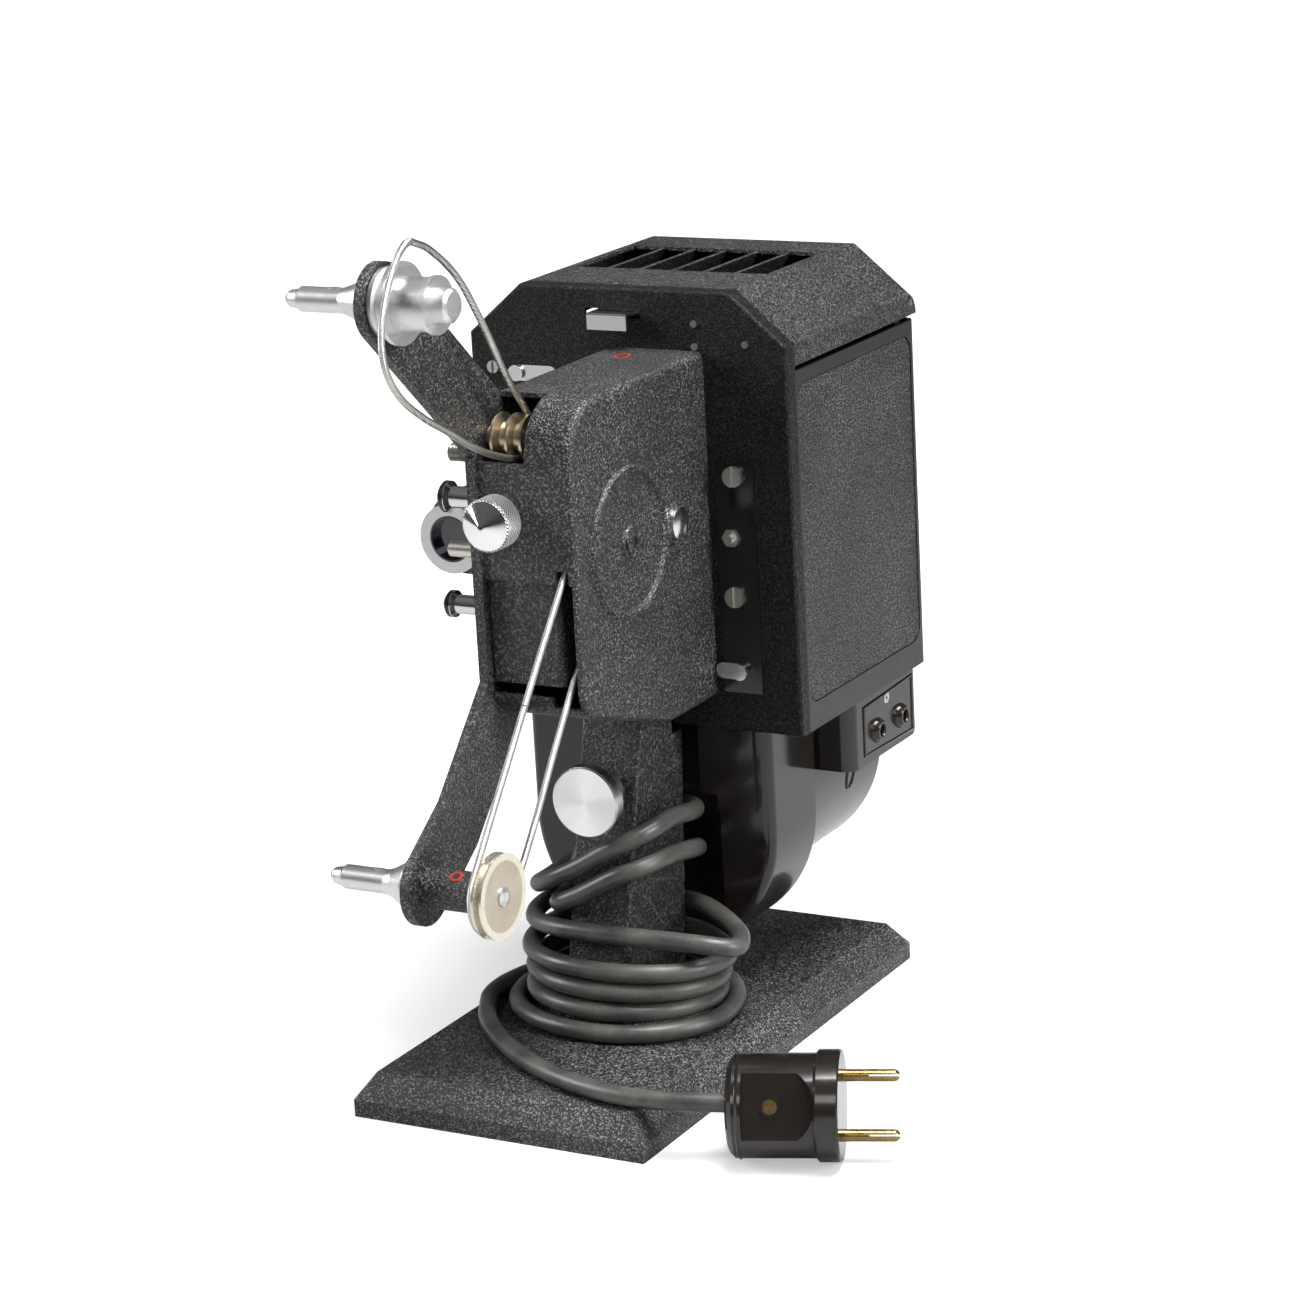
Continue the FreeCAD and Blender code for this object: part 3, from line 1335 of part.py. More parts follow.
def house_floor():
    start = HOUSE_FRONT + FRONT_FLANGE
    floor = prism("z", wrap_corners(0, start), HOUSE_LOW, HOUSE_LOW + SHEET)
    room = SHUTTER_PULLEY_R + 2 * RIM + BELT_R
    floor = floor.cut(
        box(
            MOTOR_X - room, KNOB_X + room, MOTOR_BELT_Y - 4 * BELT_R, MOTOR_BELT_Y + 4 * BELT_R,
            HOUSE_LOW - CUT, HOUSE_LOW + 2 * CUT,
        )
    )
    for y in (LAMP_Y + 2 * SOCKET_R, LAMP_Y + 2.7 * SOCKET_R):
        for step in range(5):
            x = MOTOR_X + (step - 2) * SOCKET_R
            floor = floor.cut(rod("z", x, y, SOCKET_R / 4, HOUSE_LOW - CUT, HOUSE_LOW + 2 * CUT))
    return floor


def hinge_pin():
    """Two short pins, one in each ear, that the lid's sides turn on."""
    half = HOUSE_W / 2
    inner = half - WALL_T - HINGE_EAR_T
    pins = []
    for side in (-1, 1):
        ends = sorted((side * inner, side * half))
        pins.append(rod("x", HINGE_Y, HINGE_Z, HINGE_R, ends[0], ends[1]))
    return pins


def lamphouse_lid():
    """The roof with its chamfers, skirts and rear wall, and the slanted slats of the vent."""
    start = HOUSE_FRONT + FRONT_FLANGE + GAP
    outer = prism("y", house_corners(0, LID_LOW, HOUSE_TOP), start, HOUSE_REAR)
    outer = round_edges(
        outer, LID_REAR_R,
        lambda c, e: abs(c.y - HOUSE_REAR) < RUN_FIT and c.z > HOUSE_TOP - CHAMFER_H,
    )
    inner = prism(
        "y", house_corners(SHEET, LID_LOW - CUT, HOUSE_TOP - SHEET), start - CUT, HOUSE_REAR - SHEET
    )
    inner = round_edges(
        inner, LID_REAR_R - SHEET,
        lambda c, e: abs(c.y - HOUSE_REAR + SHEET) < RUN_FIT and c.z > HOUSE_TOP - CHAMFER_H,
    )
    lid = outer.cut(inner)
    lid = lid.cut(
        box(-VENT_W / 2, VENT_W / 2, VENT_MIN_Y, VENT_MAX_Y, HOUSE_TOP - 2 * SHEET, HOUSE_TOP + CUT)
    )
    pitch = VENT_W / (SLATS + 1)
    for index in range(SLATS):
        slat = box(
            -SLAT_T / 2, SLAT_T / 2, VENT_MIN_Y - SHEET, VENT_MAX_Y + SHEET, -SLAT_H, 0
        )
        slat.rotate(Vector(0, 0, 0), AXES["y"], SLAT_LEAN)
        x = -VENT_W / 2 + (index + 1) * pitch
        slat = slat.translated(Vector(x, 0, HOUSE_TOP - SHEET / 4))
        proud = box(-HOUSE_W, HOUSE_W, 0, HOUSE_REAR, HOUSE_TOP - SHEET / 4, HOUSE_TOP + CUT)
        lid = lid.fuse(slat.cut(proud))
    lid = lid.removeSplitter()
    half = HOUSE_W / 2
    for side in (-1, 1):
        reach = sorted((side * (half - WALL_T + RUN_FIT), side * (half - WALL_T - HINGE_EAR_T - RUN_FIT)))
        lid = lid.cut(rod("x", HINGE_Y, HINGE_Z, HINGE_EAR_R + RUN_FIT, reach[0], reach[1]))
    return lid.cut(rod("x", HINGE_Y, HINGE_Z, HINGE_R + RUN_FIT, -half - CUT, half + CUT))


def lid_latch():
    """A bright shelf that comes out through its slot, with a lip to press and a hook inside."""
    front = HOUSE_FRONT - LATCH_OUT
    back = HOUSE_FRONT + 3 * SHEET
    half = LATCH_W / 2
    low = LATCH_TOP - SHEET
    shelf = box(LATCH_X - half, LATCH_X + half, front, back, low, LATCH_TOP)
    lip = box(LATCH_X - half, LATCH_X + half, front - SHEET, front, LATCH_TOP - LATCH_LIP, LATCH_TOP)
    hook = box(LATCH_X - half, LATCH_X + half, back - SHEET, back, LATCH_TOP, LATCH_TOP + SHEET)
    latch = joined(shelf, lip, hook)
    return round_edges(
        latch, SHEET / 2, lambda c, e: c.y < front + CUT and e.Length > LATCH_LIP and c.z > low
    )


def strip_plate():
    plate = box(STRIP_MIN_X, STRIP_MAX_X, HOUSE_FRONT - STRIP_T, HOUSE_FRONT, STRIP_LOW, STRIP_HIGH)
    for x, z, radius in panel_holes():
        if STRIP_MIN_X < x < STRIP_MAX_X and z < STRIP_HIGH:
            plate = plate.cut(rod("y", x, z, radius, HOUSE_FRONT - 2 * STRIP_T, HOUSE_FRONT + CUT))
    return plate


def panel_screws():
    """Cheese head screws, the hexagonal stud and the rivets of the front panel."""
    face = HOUSE_FRONT - STRIP_T
    back = HOUSE_FRONT + 2 * CUT
    pieces = []
    for x, z in STRIP_SCREWS:
        pieces.append(joined(rod("y", x, z, SCREW_R, face, back), slotted_head(x, z, HEAD_R, HEAD_H, face)))
    x, z = HEX_STUD
    corners = []
    for index in range(6):
        angle = math.radians(60 * index)
        corners.append((x + HEX_STUD_R * math.cos(angle), z + HEX_STUD_R * math.sin(angle)))
    nut = prism("y", corners, face - HEX_STUD_H / 2, face)
    pieces.append(joined(nut, rod("y", x, z, SCREW_R, face - HEX_STUD_H, back)))
    x, z = PANEL_SCREW
    pieces.append(
        joined(
            rod("y", x, z, SCREW_R, HOUSE_FRONT, back),
            slotted_head(x, z, PANEL_HEAD_R, HEAD_H, HOUSE_FRONT),
        )
    )
    for x, z in RIVETS:
        shank = rod("y", x, z, RIVET_R / 2, HOUSE_FRONT - RIVET_H, back)
        pieces.append(joined(shank, rod("y", x, z, RIVET_R, HOUSE_FRONT - RIVET_H, HOUSE_FRONT)))
    return pieces


def pivot_lever(x, z, length, radius, face, toward):
    """A small lever before a face. Its pivot's shank goes back through the panel."""
    front = face - SHEET
    tip = (x + toward * length, z)
    lever = stadium("y", (x, z), tip, radius, front, face - GAP)
    head = rod("y", x, z, radius, front - SHEET, front)
    shank = rod("y", x, z, SCREW_R, front, HOUSE_FRONT + 2 * CUT)
    return joined(lever, head, shank)


def clutch_lever():
    return pivot_lever(CLUTCH_X, CLUTCH_Z, CLUTCH_L, CLUTCH_R, HOUSE_FRONT - STRIP_T, -1)


def top_lever():
    return pivot_lever(TOP_LEVER_X, TOP_LEVER_Z, TOP_LEVER_L, CLUTCH_R, HOUSE_FRONT, 1)


# lamp and optics


def lamp():
    """The glass bulb on its brass cap."""
    neck = CAP_R - 2 * SHEET
    cap = rod("z", LENS_X, LAMP_Y, CAP_R - RUN_FIT, CAP_BOTTOM + SHEET, CAP_TOP)
    stem = rod("z", LENS_X, LAMP_Y, neck, CAP_TOP, BULB_Z)
    bulb = ball(LENS_X, LAMP_Y, BULB_Z, BULB_R)
    return [joined(stem, bulb), cap]


def lamp_socket():
    floor = HOUSE_LOW + SHEET
    post = rod("z", LENS_X, LAMP_Y, SOCKET_R, floor, SOCKET_TOP)
    foot = rod("z", LENS_X, LAMP_Y, SOCKET_R + 3 * CUT, floor, floor + 3 * CUT)
    bore = rod("z", LENS_X, LAMP_Y, CAP_R, CAP_BOTTOM, SOCKET_TOP + CUT)
    return joined(post, foot).cut(bore)


def reflector():
    """A dished mirror on a stalk behind the lamp."""
    sphere_r = (REFLECTOR_R ** 2 + REFLECTOR_DISH ** 2) / (2 * REFLECTOR_DISH)
    centre = REFLECTOR_Y - sphere_r
    shell = ball(LENS_X, centre, LENS_Z, sphere_r + SHEET).cut(ball(LENS_X, centre, LENS_Z, sphere_r))
    dish = shell.common(
        rod("y", LENS_X, LENS_Z, REFLECTOR_R, REFLECTOR_Y - REFLECTOR_DISH, REFLECTOR_Y + 2 * SHEET)
    )
    stalk = box(
        LENS_X - 3 * SHEET, LENS_X + 3 * SHEET, REFLECTOR_Y + SHEET / 2, REFLECTOR_Y + 2 * SHEET,
        HOUSE_LOW + SHEET, LENS_Z + SHEET,
    )
    return joined(dish, stalk)


def condenser():
    """A short tube on a foot, with two lenses seated in it."""
    end = CONDENSER_Y + CONDENSER_L
    holder = rod("y", LENS_X, LENS_Z, CONDENSER_R, CONDENSER_Y, end)
    foot = box(
        LENS_X - 3 * CUT, LENS_X + 3 * CUT, CONDENSER_Y + 6 * CUT, CONDENSER_Y + 10 * CUT,
        HOUSE_LOW + SHEET, LENS_Z - CONDENSER_R + CUT,
    )
    bore_r = CONDENSER_R - CONDENSER_T
    holder = joined(holder, foot).cut(
        rod("y", LENS_X, LENS_Z, bore_r - CUT, CONDENSER_Y - CUT, end + CUT)
    )
    lenses = []
    for start in (CONDENSER_Y, end - 5 * CUT):
        seat = rod("y", LENS_X, LENS_Z, bore_r, start, start + 5 * CUT)
        holder = holder.cut(seat)
        lenses.append(rod("y", LENS_X, LENS_Z, bore_r - RUN_FIT, start, start + 5 * CUT))
    return [holder] + lenses


# motor


def motor_section(radius, z=MOTOR_Z):
    """A round bottom with straight sides up to the lamphouse."""
    low = (MOTOR_X - radius, z)
    low_right = (MOTOR_X + radius, z)
    top = HOUSE_LOW
    edges = [
        Part.Arc(at("y", *low), at("y", MOTOR_X, z - radius), at("y", *low_right)).toShape(),
        Part.LineSegment(at("y", *low_right), at("y", low_right[0], top)).toShape(),
        Part.LineSegment(at("y", low_right[0], top), at("y", low[0], top)).toShape(),
        Part.LineSegment(at("y", low[0], top), at("y", *low)).toShape(),
    ]
    return Part.Face(Part.Wire(edges))


def front_block():
    block = raise_face(motor_section(MOTOR_R), "y", MOTOR_FRONT, MOTOR_SEAM)
    return round_edges(
        block, MOTOR_EDGE_R, lambda c, e: abs(c.y - MOTOR_FRONT) < RUN_FIT and c.z < HOUSE_LOW - CUT
    )


def rear_block(inset, start, end):
    """The rear shell's outer form, or its inside, between two places along Y."""
    block = raise_face(motor_section(REAR_SHELL_R - inset, REAR_SHELL_Z), "y", start, end)
    return round_edges(
        block, REAR_EDGE_R - inset, lambda c, e: abs(c.y - end) < RUN_FIT and c.z < HOUSE_LOW - CUT
    )


def recess_boxes(wall):
    """The room round the column and the cord in the housing's front, grown by a wall."""
    low_half = RECESS_W / 2 + wall
    high_half = RECESS_HIGH_W / 2 + wall
    back = MOTOR_FRONT + RECESS_D + wall
    front = MOTOR_FRONT - 2 * CUT - FACE_PLATE_T
    low = box(-low_half, low_half, front, back, 0, RECESS_STEP_Z + wall)
    high = box(-high_half, high_half, front, back, RECESS_STEP_Z, HOUSE_LOW + CUT)
    return low.fuse(high)


def motor_front_shell():
    outer = front_block()
    plate = box(
        MOTOR_X - FACE_PLATE_HALF, MOTOR_X + FACE_PLATE_HALF, MOTOR_FRONT - FACE_PLATE_T, MOTOR_FRONT + CUT,
        FACE_PLATE_Z, HOUSE_LOW,
    )
    outer = joined(outer, plate)
    inside_r = MOTOR_R - MOTOR_WALL
    start = MOTOR_FRONT + MOTOR_WALL
    flange = MOTOR_SEAM - MOTOR_WALL
    inner = raise_face(motor_section(inside_r), "y", start, flange)
    open_top = box(MOTOR_X - inside_r, MOTOR_X + inside_r, start, flange, MOTOR_Z, HOUSE_LOW + CUT)
    inner = joined(inner, open_top).cut(recess_boxes(MOTOR_WALL))
    rear_r = REAR_SHELL_R - MOTOR_WALL
    way_back = raise_face(motor_section(rear_r, REAR_SHELL_Z), "y", flange - CUT, MOTOR_SEAM + CUT)
    open_back = box(
        MOTOR_X - rear_r, MOTOR_X + rear_r, flange - CUT, MOTOR_SEAM + CUT, REAR_SHELL_Z, HOUSE_LOW + CUT
    )
    return outer.cut(recess_boxes(0)).cut(inner).cut(way_back).cut(open_back)


def motor_rear_shell():
    outer = rear_block(0, MOTOR_SEAM, MOTOR_REAR)
    inner = rear_block(MOTOR_WALL, MOTOR_SEAM - CUT, MOTOR_REAR - MOTOR_WALL)
    return outer.cut(inner)


def motor_stator():
    """The laminated ring between two bearing brackets that reach the housing's flat sides."""
    end = STATOR_MIN_Y + STATOR_L
    ring = tube("y", MOTOR_X, MOTOR_Z, STATOR_R, STATOR_BORE, STATOR_MIN_Y, end)
    rear_r = REAR_SHELL_R - MOTOR_WALL
    rear_reach = math.sqrt(rear_r ** 2 - (REAR_SHELL_Z - MOTOR_Z) ** 2)
    pieces = ring
    places = ((STATOR_MIN_Y - 2 * BRACKET_T, MOTOR_R - MOTOR_WALL), (end + BRACKET_T, rear_reach))
    for start, reach in places:
        bar = box(MOTOR_X - reach, MOTOR_X + reach, start, start + BRACKET_T, MOTOR_Z, MOTOR_Z + BRACKET_H)
        hub = rod("y", MOTOR_X, MOTOR_Z, 3 * MOTOR_SHAFT_R, start, start + BRACKET_T)
        pieces = pieces.fuse(bar).fuse(hub)
    post_x = (STATOR_R + STATOR_BORE) / 2
    for side in (-1, 1):
        post = rod(
            "y", MOTOR_X + side * post_x, MOTOR_Z + BRACKET_T, BRACKET_T,
            STATOR_MIN_Y - 2 * BRACKET_T, end + 2 * BRACKET_T,
        )
        pieces = pieces.fuse(post)
    pieces = pieces.removeSplitter()
    bore_r = MOTOR_SHAFT_R + RUN_FIT
    bore = rod("y", MOTOR_X, MOTOR_Z, bore_r, STATOR_MIN_Y - 3 * BRACKET_T, end + 3 * BRACKET_T)
    return pieces.cut(bore)


def motor_rotor():
    """The shaft with its rotor and belt pulley, and the fan as a piece of its own."""
    rotor_start = STATOR_MIN_Y + CUT
    rotor_end = STATOR_MIN_Y + STATOR_L - CUT
    profile = [(MOTOR_SHAFT_MIN_Y, 0), (MOTOR_SHAFT_MIN_Y, MOTOR_SHAFT_R)]
    profile += groove_profile(MOTOR_BELT_Y, MOTOR_PULLEY_R, MOTOR_PULLEY_R + RIM)
    profile += [
        (MOTOR_BELT_Y + 3 * BELT_R, MOTOR_SHAFT_R), (rotor_start, MOTOR_SHAFT_R), (rotor_start, ROTOR_R),
        (rotor_end, ROTOR_R), (rotor_end, MOTOR_SHAFT_R), (MOTOR_SHAFT_MAX_Y, MOTOR_SHAFT_R),
        (MOTOR_SHAFT_MAX_Y, 0),
    ]
    shaft = turned("y", MOTOR_X, MOTOR_Z, profile)
    fan = rod("y", MOTOR_X, MOTOR_Z, FAN_R, FAN_Y + FAN_L - SHEET, FAN_Y + FAN_L)
    fan = fan.fuse(rod("y", MOTOR_X, MOTOR_Z, 3 * MOTOR_SHAFT_R, FAN_Y, FAN_Y + FAN_L))
    for index in range(FAN_BLADES):
        blade = box(2 * MOTOR_SHAFT_R, FAN_R - CUT, FAN_Y, FAN_Y + FAN_L, -SHEET / 2, SHEET / 2)
        blade.rotate(Vector(0, 0, 0), AXES["y"], 360 * index / FAN_BLADES)
        fan = fan.fuse(blade.translated(Vector(MOTOR_X, 0, MOTOR_Z)))
    fan = fan.removeSplitter().cut(rod("y", MOTOR_X, MOTOR_Z, MOTOR_SHAFT_R + RUN_FIT, 0, MOTOR_REAR))
    return [shaft, fan]


def inlet_block():
    """The mains inlet beside the motor housing, with two round sockets."""
    min_x = MOTOR_X + REAR_SHELL_R
    block = box(min_x, INLET_MAX_X, INLET_MIN_Y, INLET_MAX_Y, INLET_LOW, HOUSE_LOW)
    block = round_edges(
        block, 4 * SHEET,
        lambda c, e: abs(c.x - INLET_MAX_X) < RUN_FIT and abs(c.y - INLET_MIN_Y) < RUN_FIT,
    )
    block = round_edges(
        block, 2 * SHEET, lambda c, e: abs(c.y - INLET_MAX_Y) < RUN_FIT and abs(c.z - INLET_LOW) < RUN_FIT
    )
    for side in (-1, 1):
        y = INLET_Y + side * INLET_PITCH / 2
        rim = rod("x", y, INLET_Z, 2 * INLET_BORE_R, INLET_MAX_X - CUT, INLET_MAX_X + CUT / 2)
        block = block.fuse(rim)
        block = block.cut(rod("x", y, INLET_Z, INLET_BORE_R, INLET_MAX_X - INLET_BORE_D, INLET_MAX_X + CUT))
    return block.removeSplitter()


# smooth paths for belts and cord


def quarter_arcs(start, start_way, end, end_way):
    """Two arcs that join two points, smooth at both and where they meet."""
    run = end - start
    ways = start_way + end_way
    spread = 2 * (1 - start_way.dot(end_way))
    if spread < 1e-9:
        reach = run.dot(run) / (4 * run.dot(end_way))
    else:
        along = run.dot(ways)
        reach = (math.sqrt(along ** 2 + spread * run.dot(run)) - along) / spread
    first = start + start_way * reach
    second = end - end_way * reach
    meeting = (first + second) * 0.5
    return [bend(start, first, meeting), bend(meeting, second, end)]


def bend(start, corner, end):
    """The arc that leaves start towards the corner and reaches end from it."""
    weight = (end - start).Length / 2 / (corner - start).Length
    if weight > 1 - 1e-7:
        return Part.LineSegment(start, end).toShape()
    middle = (start + corner * (2 * weight) + end) * (1 / (2 + 2 * weight))
    return Part.Arc(start, middle, end).toShape()


def path_of(points, ways):
    edges = []
    for index in range(len(points) - 1):
        edges += quarter_arcs(points[index], ways[index], points[index + 1], ways[index + 1])
    return edges


def wound_tube(edges, radius):
    """A round tube along a chain of edges."""
    start = edges[0].valueAt(edges[0].FirstParameter)
    way = edges[0].tangentAt(edges[0].FirstParameter)
    ring = Part.Wire(Part.makeCircle(radius, start, way))
    return Part.Wire(edges).makePipeShell([ring], True, False)


def ways_along(points):
    """A heading at each point, from its neighbours."""
    ways = []
    for index in range(len(points)):
        before = points[max(index - 1, 0)]
        after = points[min(index + 1, len(points) - 1)]
        ways.append((after - before).normalize())
    return ways


def round_pulley(axis, centre, radius, start_angle, end_angle, along, steps=4):
    """Points and headings of a belt on a pulley, in the plane square to its axis."""
    points = []
    ways = []
    sign = 1 if end_angle > start_angle else -1
    for index in range(steps + 1):
        angle = math.radians(start_angle + (end_angle - start_angle) * index / steps)
        first = centre[0] + radius * math.cos(angle)
        second = centre[1] + radius * math.sin(angle)
        points.append(at(axis, first, second, along))
        ways.append(at(axis, -sign * math.sin(angle), sign * math.cos(angle)))
    return points, ways


def open_belt(axis, low, low_radius, high, high_radius, along):
    """A closed belt round two pulleys, as one tube with its ends together on a straight."""
    run = Vector(high[0] - low[0], high[1] - low[1], 0)
    lean = math.degrees(math.atan2(run.y, run.x))
    flare = math.degrees(math.asin((high_radius - low_radius) / run.Length))
    top = round_pulley(axis, high, high_radius, lean + 90 + flare, lean - 90 - flare, along)
    bottom = round_pulley(axis, low, low_radius, lean - 90 - flare, lean - 270 + flare, along)
    points = top[0] + bottom[0]
    ways = top[1] + bottom[1]
    last = points[-1] + ways[-1] * (points[0] - points[-1]).Length * 0.5
    ways = [ways[-1]] + ways + [ways[-1]]
    gap = ways[0] * (GAP / 2)
    points = [last + gap] + points + [last - gap]
    return wound_tube(path_of(points, ways), BELT_R)


def inner_belts():
    """The rewind belt beside the bearing plate and the motor's belt."""
    return [
        open_belt(
            "x", (MAIN_Y, MAIN_Z), belt_radius(SMALL_R), (TWIN_Y, TWIN_Z), belt_radius(SHAFT_R), SMALL_X,
        ),
        open_belt(
            "y", (MOTOR_X, MOTOR_Z), belt_radius(MOTOR_PULLEY_R), (KNOB_X, KNOB_Z),
            belt_radius(SHUTTER_PULLEY_R), MOTOR_BELT_Y,
        ),
    ]


def upper_belt():
    """The slack belt that stands up from the double pulley round the upper hub."""
    x = TWIN_MIN_X + 1.5 * TWIN_STEP + TWIN_RIM_T / 2
    radius = belt_radius(TWIN_GROOVE_R)
    wrap, wrap_ways = round_pulley("x", (TWIN_Y, TWIN_Z), radius, 32, -94, x)
    front = [
        (-82.9, 225.4), (-98.0, 231.6), (-113.5, 240.2), (-127.0, 247.6), (-138.8, 256.2), (-145.4, 265.8),
        (-146.6, 276.0), (-142.4, 287.6), (-135.6, 297.2), (-130.6, 300.9), (-127.2, 301.6),
    ]
    rear = [(-126.8, 301.6), (-116.6, 297.3), (-102.2, 286.5), (-89.5, 270.2), (-76.8, 250.6)]
    front_points = [Vector(x, y, z) for y, z in front]
    rear_points = [Vector(x, y, z) for y, z in rear]
    points = rear_points + wrap + front_points
    ways = ways_along(rear_points + wrap[:1])[:-1] + wrap_ways + ways_along(wrap[-1:] + front_points)[1:]
    return wound_tube(path_of(points, ways), BELT_R)


def lower_belt():
    """The slack belt from the main shaft, slipped behind the reel pulley at its lower end."""
    radius = belt_radius(TAKEUP_R)
    low_x = REEL_PULLEY_MIN_X - GAP - BELT_R
    wrap, wrap_ways = round_pulley("x", (MAIN_Y, MAIN_Z), radius, 145, -41, TAKEUP_X)
    loop_r = 12.4
    loop, loop_ways = round_pulley("x", (LOW_Y + 0.6, LOW_Z), loop_r, -46, -218, low_x)
    slot_point = Vector(TAKEUP_X - 0.5, -75.4, 148.4)
    slot_way = (loop[0] - slot_point).normalize()
    start = (loop[-1] + wrap[0]) * 0.5
    climb = (wrap[0] - loop[-1]).normalize()
    points = [start + climb * (GAP / 2)] + wrap + [slot_point] + loop + [start - climb * (GAP / 2)]
    ways = [climb] + wrap_ways + [slot_way] + loop_ways + [climb]
    return wound_tube(path_of(points, ways), BELT_R)


# cord and plug


def slope_rear(z, clear=0.0):
    """A point of the column's rear face in the YZ plane."""
    return (column_rear(z) + clear, z)


def cord_gland():
    """A clip on the column's rear that holds the end of the cord where it leaves the column."""
    low = GLAND_Z - GLAND_H / 2
    high = GLAND_Z + GLAND_H / 2
    corners = [slope_rear(low), (GLAND_REAR, low, CUT), (GLAND_REAR, high, CUT), slope_rear(high)]
    return prism("x", corners, GLAND_MIN_X, GLAND_MAX_X)


def turn_places():
    """Places and headings of the flat turns, each one like the last but a pitch lower."""
    places = []
    last = len(TURNS) - 1
    behind = DRAPE[-1][2]
    for index, (left, front, right, rear) in enumerate(TURNS):
        lowest = index == last
        level = CORD_REST_Z
        if not lowest:
            level += LOWEST_PITCH + TURN_PITCH * (last - 1 - index)
        left_z = level + TURN_LEFT_RISE
        corner_z = left_z + (behind - left_z) * TURN_CORNER_SHARE
        corner = LOWEST_CORNER if lowest else TURN_CORNER
        behind = level if lowest else level - TURN_REAR_FALL
        places.append(corner + (corner_z, 225))
        places.append((left, TURN_SIDE_Y, left_z, 270))
        places.append((TURN_MIDDLE_X, front, level, 0))
        if lowest:
            places.append((right, TURN_SIDE_Y, level, 90))
        else:
            places.append((right, TURN_SIDE_Y, level - TURN_RIGHT_FALL, 90))
            places.append((right * 0.35 + 12.4, TURN_BEND_Y, level - 2 * TURN_RIGHT_FALL, 140))
        places.append((0.0, rear, behind, 180))
    return places


def beyond_exit(distance):
    """A point straight on from the last bend of the coil."""
    x, y, heading = COIL_EXIT[-1]
    angle = math.radians(heading)
    return Vector(x + distance * math.cos(angle), y + distance * math.sin(angle), CORD_REST_Z)


def coil_path():
    """Points of the coil and the way it runs through each. The slope is that of its neighbours."""
    leaving = [(x, y, CORD_REST_Z, heading) for x, y, heading in COIL_EXIT]
    end = beyond_exit(CORD_D)
    leaving.append((end.x, end.y, CORD_REST_Z, COIL_EXIT[-1][2]))
    places = list(DRAPE) + turn_places() + leaving
    points = [Vector(x, y, z) for x, y, z, heading in places]
    flat = [math.hypot(b.x - a.x, b.y - a.y) for a, b in zip(points, points[1:])]
    ways = []
    for index, (x, y, z, heading) in enumerate(places):
        before = max(index - 1, 0)
        after = min(index + 1, len(points) - 1)
        rise = (points[after].z - points[before].z) / sum(flat[before:after])
        if index < 2 or index > len(points) - 3:
            rise = 0.0
        angle = math.radians(heading)
        ways.append(Vector(math.cos(angle), math.sin(angle), rise).normalize())
    return points, ways


def cord_coil():
    points, ways = coil_path()
    edges = path_of(points, ways)
    radii = [edge.Curve.Radius for edge in edges if hasattr(edge.Curve, "Radius")]
    print("coil length", sum(edge.Length for edge in edges), "tightest bend", min(radii))
    print("least gap of the coil to itself", gap_to_itself(edges))
    return wound_tube(edges, CORD_R)


def gap_to_itself(edges):
    """The least free space between two turns, measured on points a millimetre apart."""
    wire = Part.Wire(edges)
    points = wire.discretize(Distance=1.0)
    skip = int(3 * CORD_D)
    least = math.inf
    for index, here in enumerate(points):
        for other in points[index + skip:]:
            least = min(least, (here - other).Length)
    return least - CORD_D


def plug_point(along):
    """A place by its distance along the plug's axis from the cord's entry."""
    angle = math.radians(PLUG_TURN)
    return Vector(PLUG_X + along * math.cos(angle), PLUG_Y + along * math.sin(angle), PLUG_R)


def rounded_corners(points):
    """Straight runs with a tangent arc in place of each corner."""
    edges = []
    radii = []
    last = points[0]
    for before, here, after in zip(points, points[1:], points[2:]):
        back = before - here
        ahead = after - here
        reach = CORNER_SHARE * min(back.Length, ahead.Length)
        radii.append(reach * math.tan(back.getAngle(ahead) / 2))
        entry = here + back.normalize() * reach
        leave = here + ahead.normalize() * reach
        edges.append(Part.LineSegment(last, entry).toShape())
        edges.append(bend(entry, here, leave))
        last = leave
    edges.append(Part.LineSegment(last, points[-1]).toShape())
    return edges, radii


def cord_lead():
    """From the coil's end over the base plate to the plug."""
    points = [beyond_exit(CORD_D), beyond_exit(CORD_D + EXIT_RUN)]
    points += [Vector(x, y, CORD_REST_Z) for x, y in LEAD]
    points += [plug_point(-PLUG_RUN), plug_point(0)]
    edges, radii = rounded_corners(points)
    lead = wound_tube(edges, CORD_R)
    length = sum(edge.Length for edge in edges)
    section = math.pi * CORD_R ** 2
    print("lead length", length, "bend radii", radii)
    print("lead volume", lead.Volume, "section times length", section * length)
    return lead


def along_plug(shape):
    """Moves a shape made along +X, its screw towards -Y, onto the plug's axis as it lies."""
    laid = shape.copy()
    laid.rotate(Vector(0, 0, 0), AXES["x"], -PLUG_ROLL)
    laid.rotate(Vector(0, 0, 0), AXES["z"], PLUG_TURN)
    return laid.translated(plug_point(0))


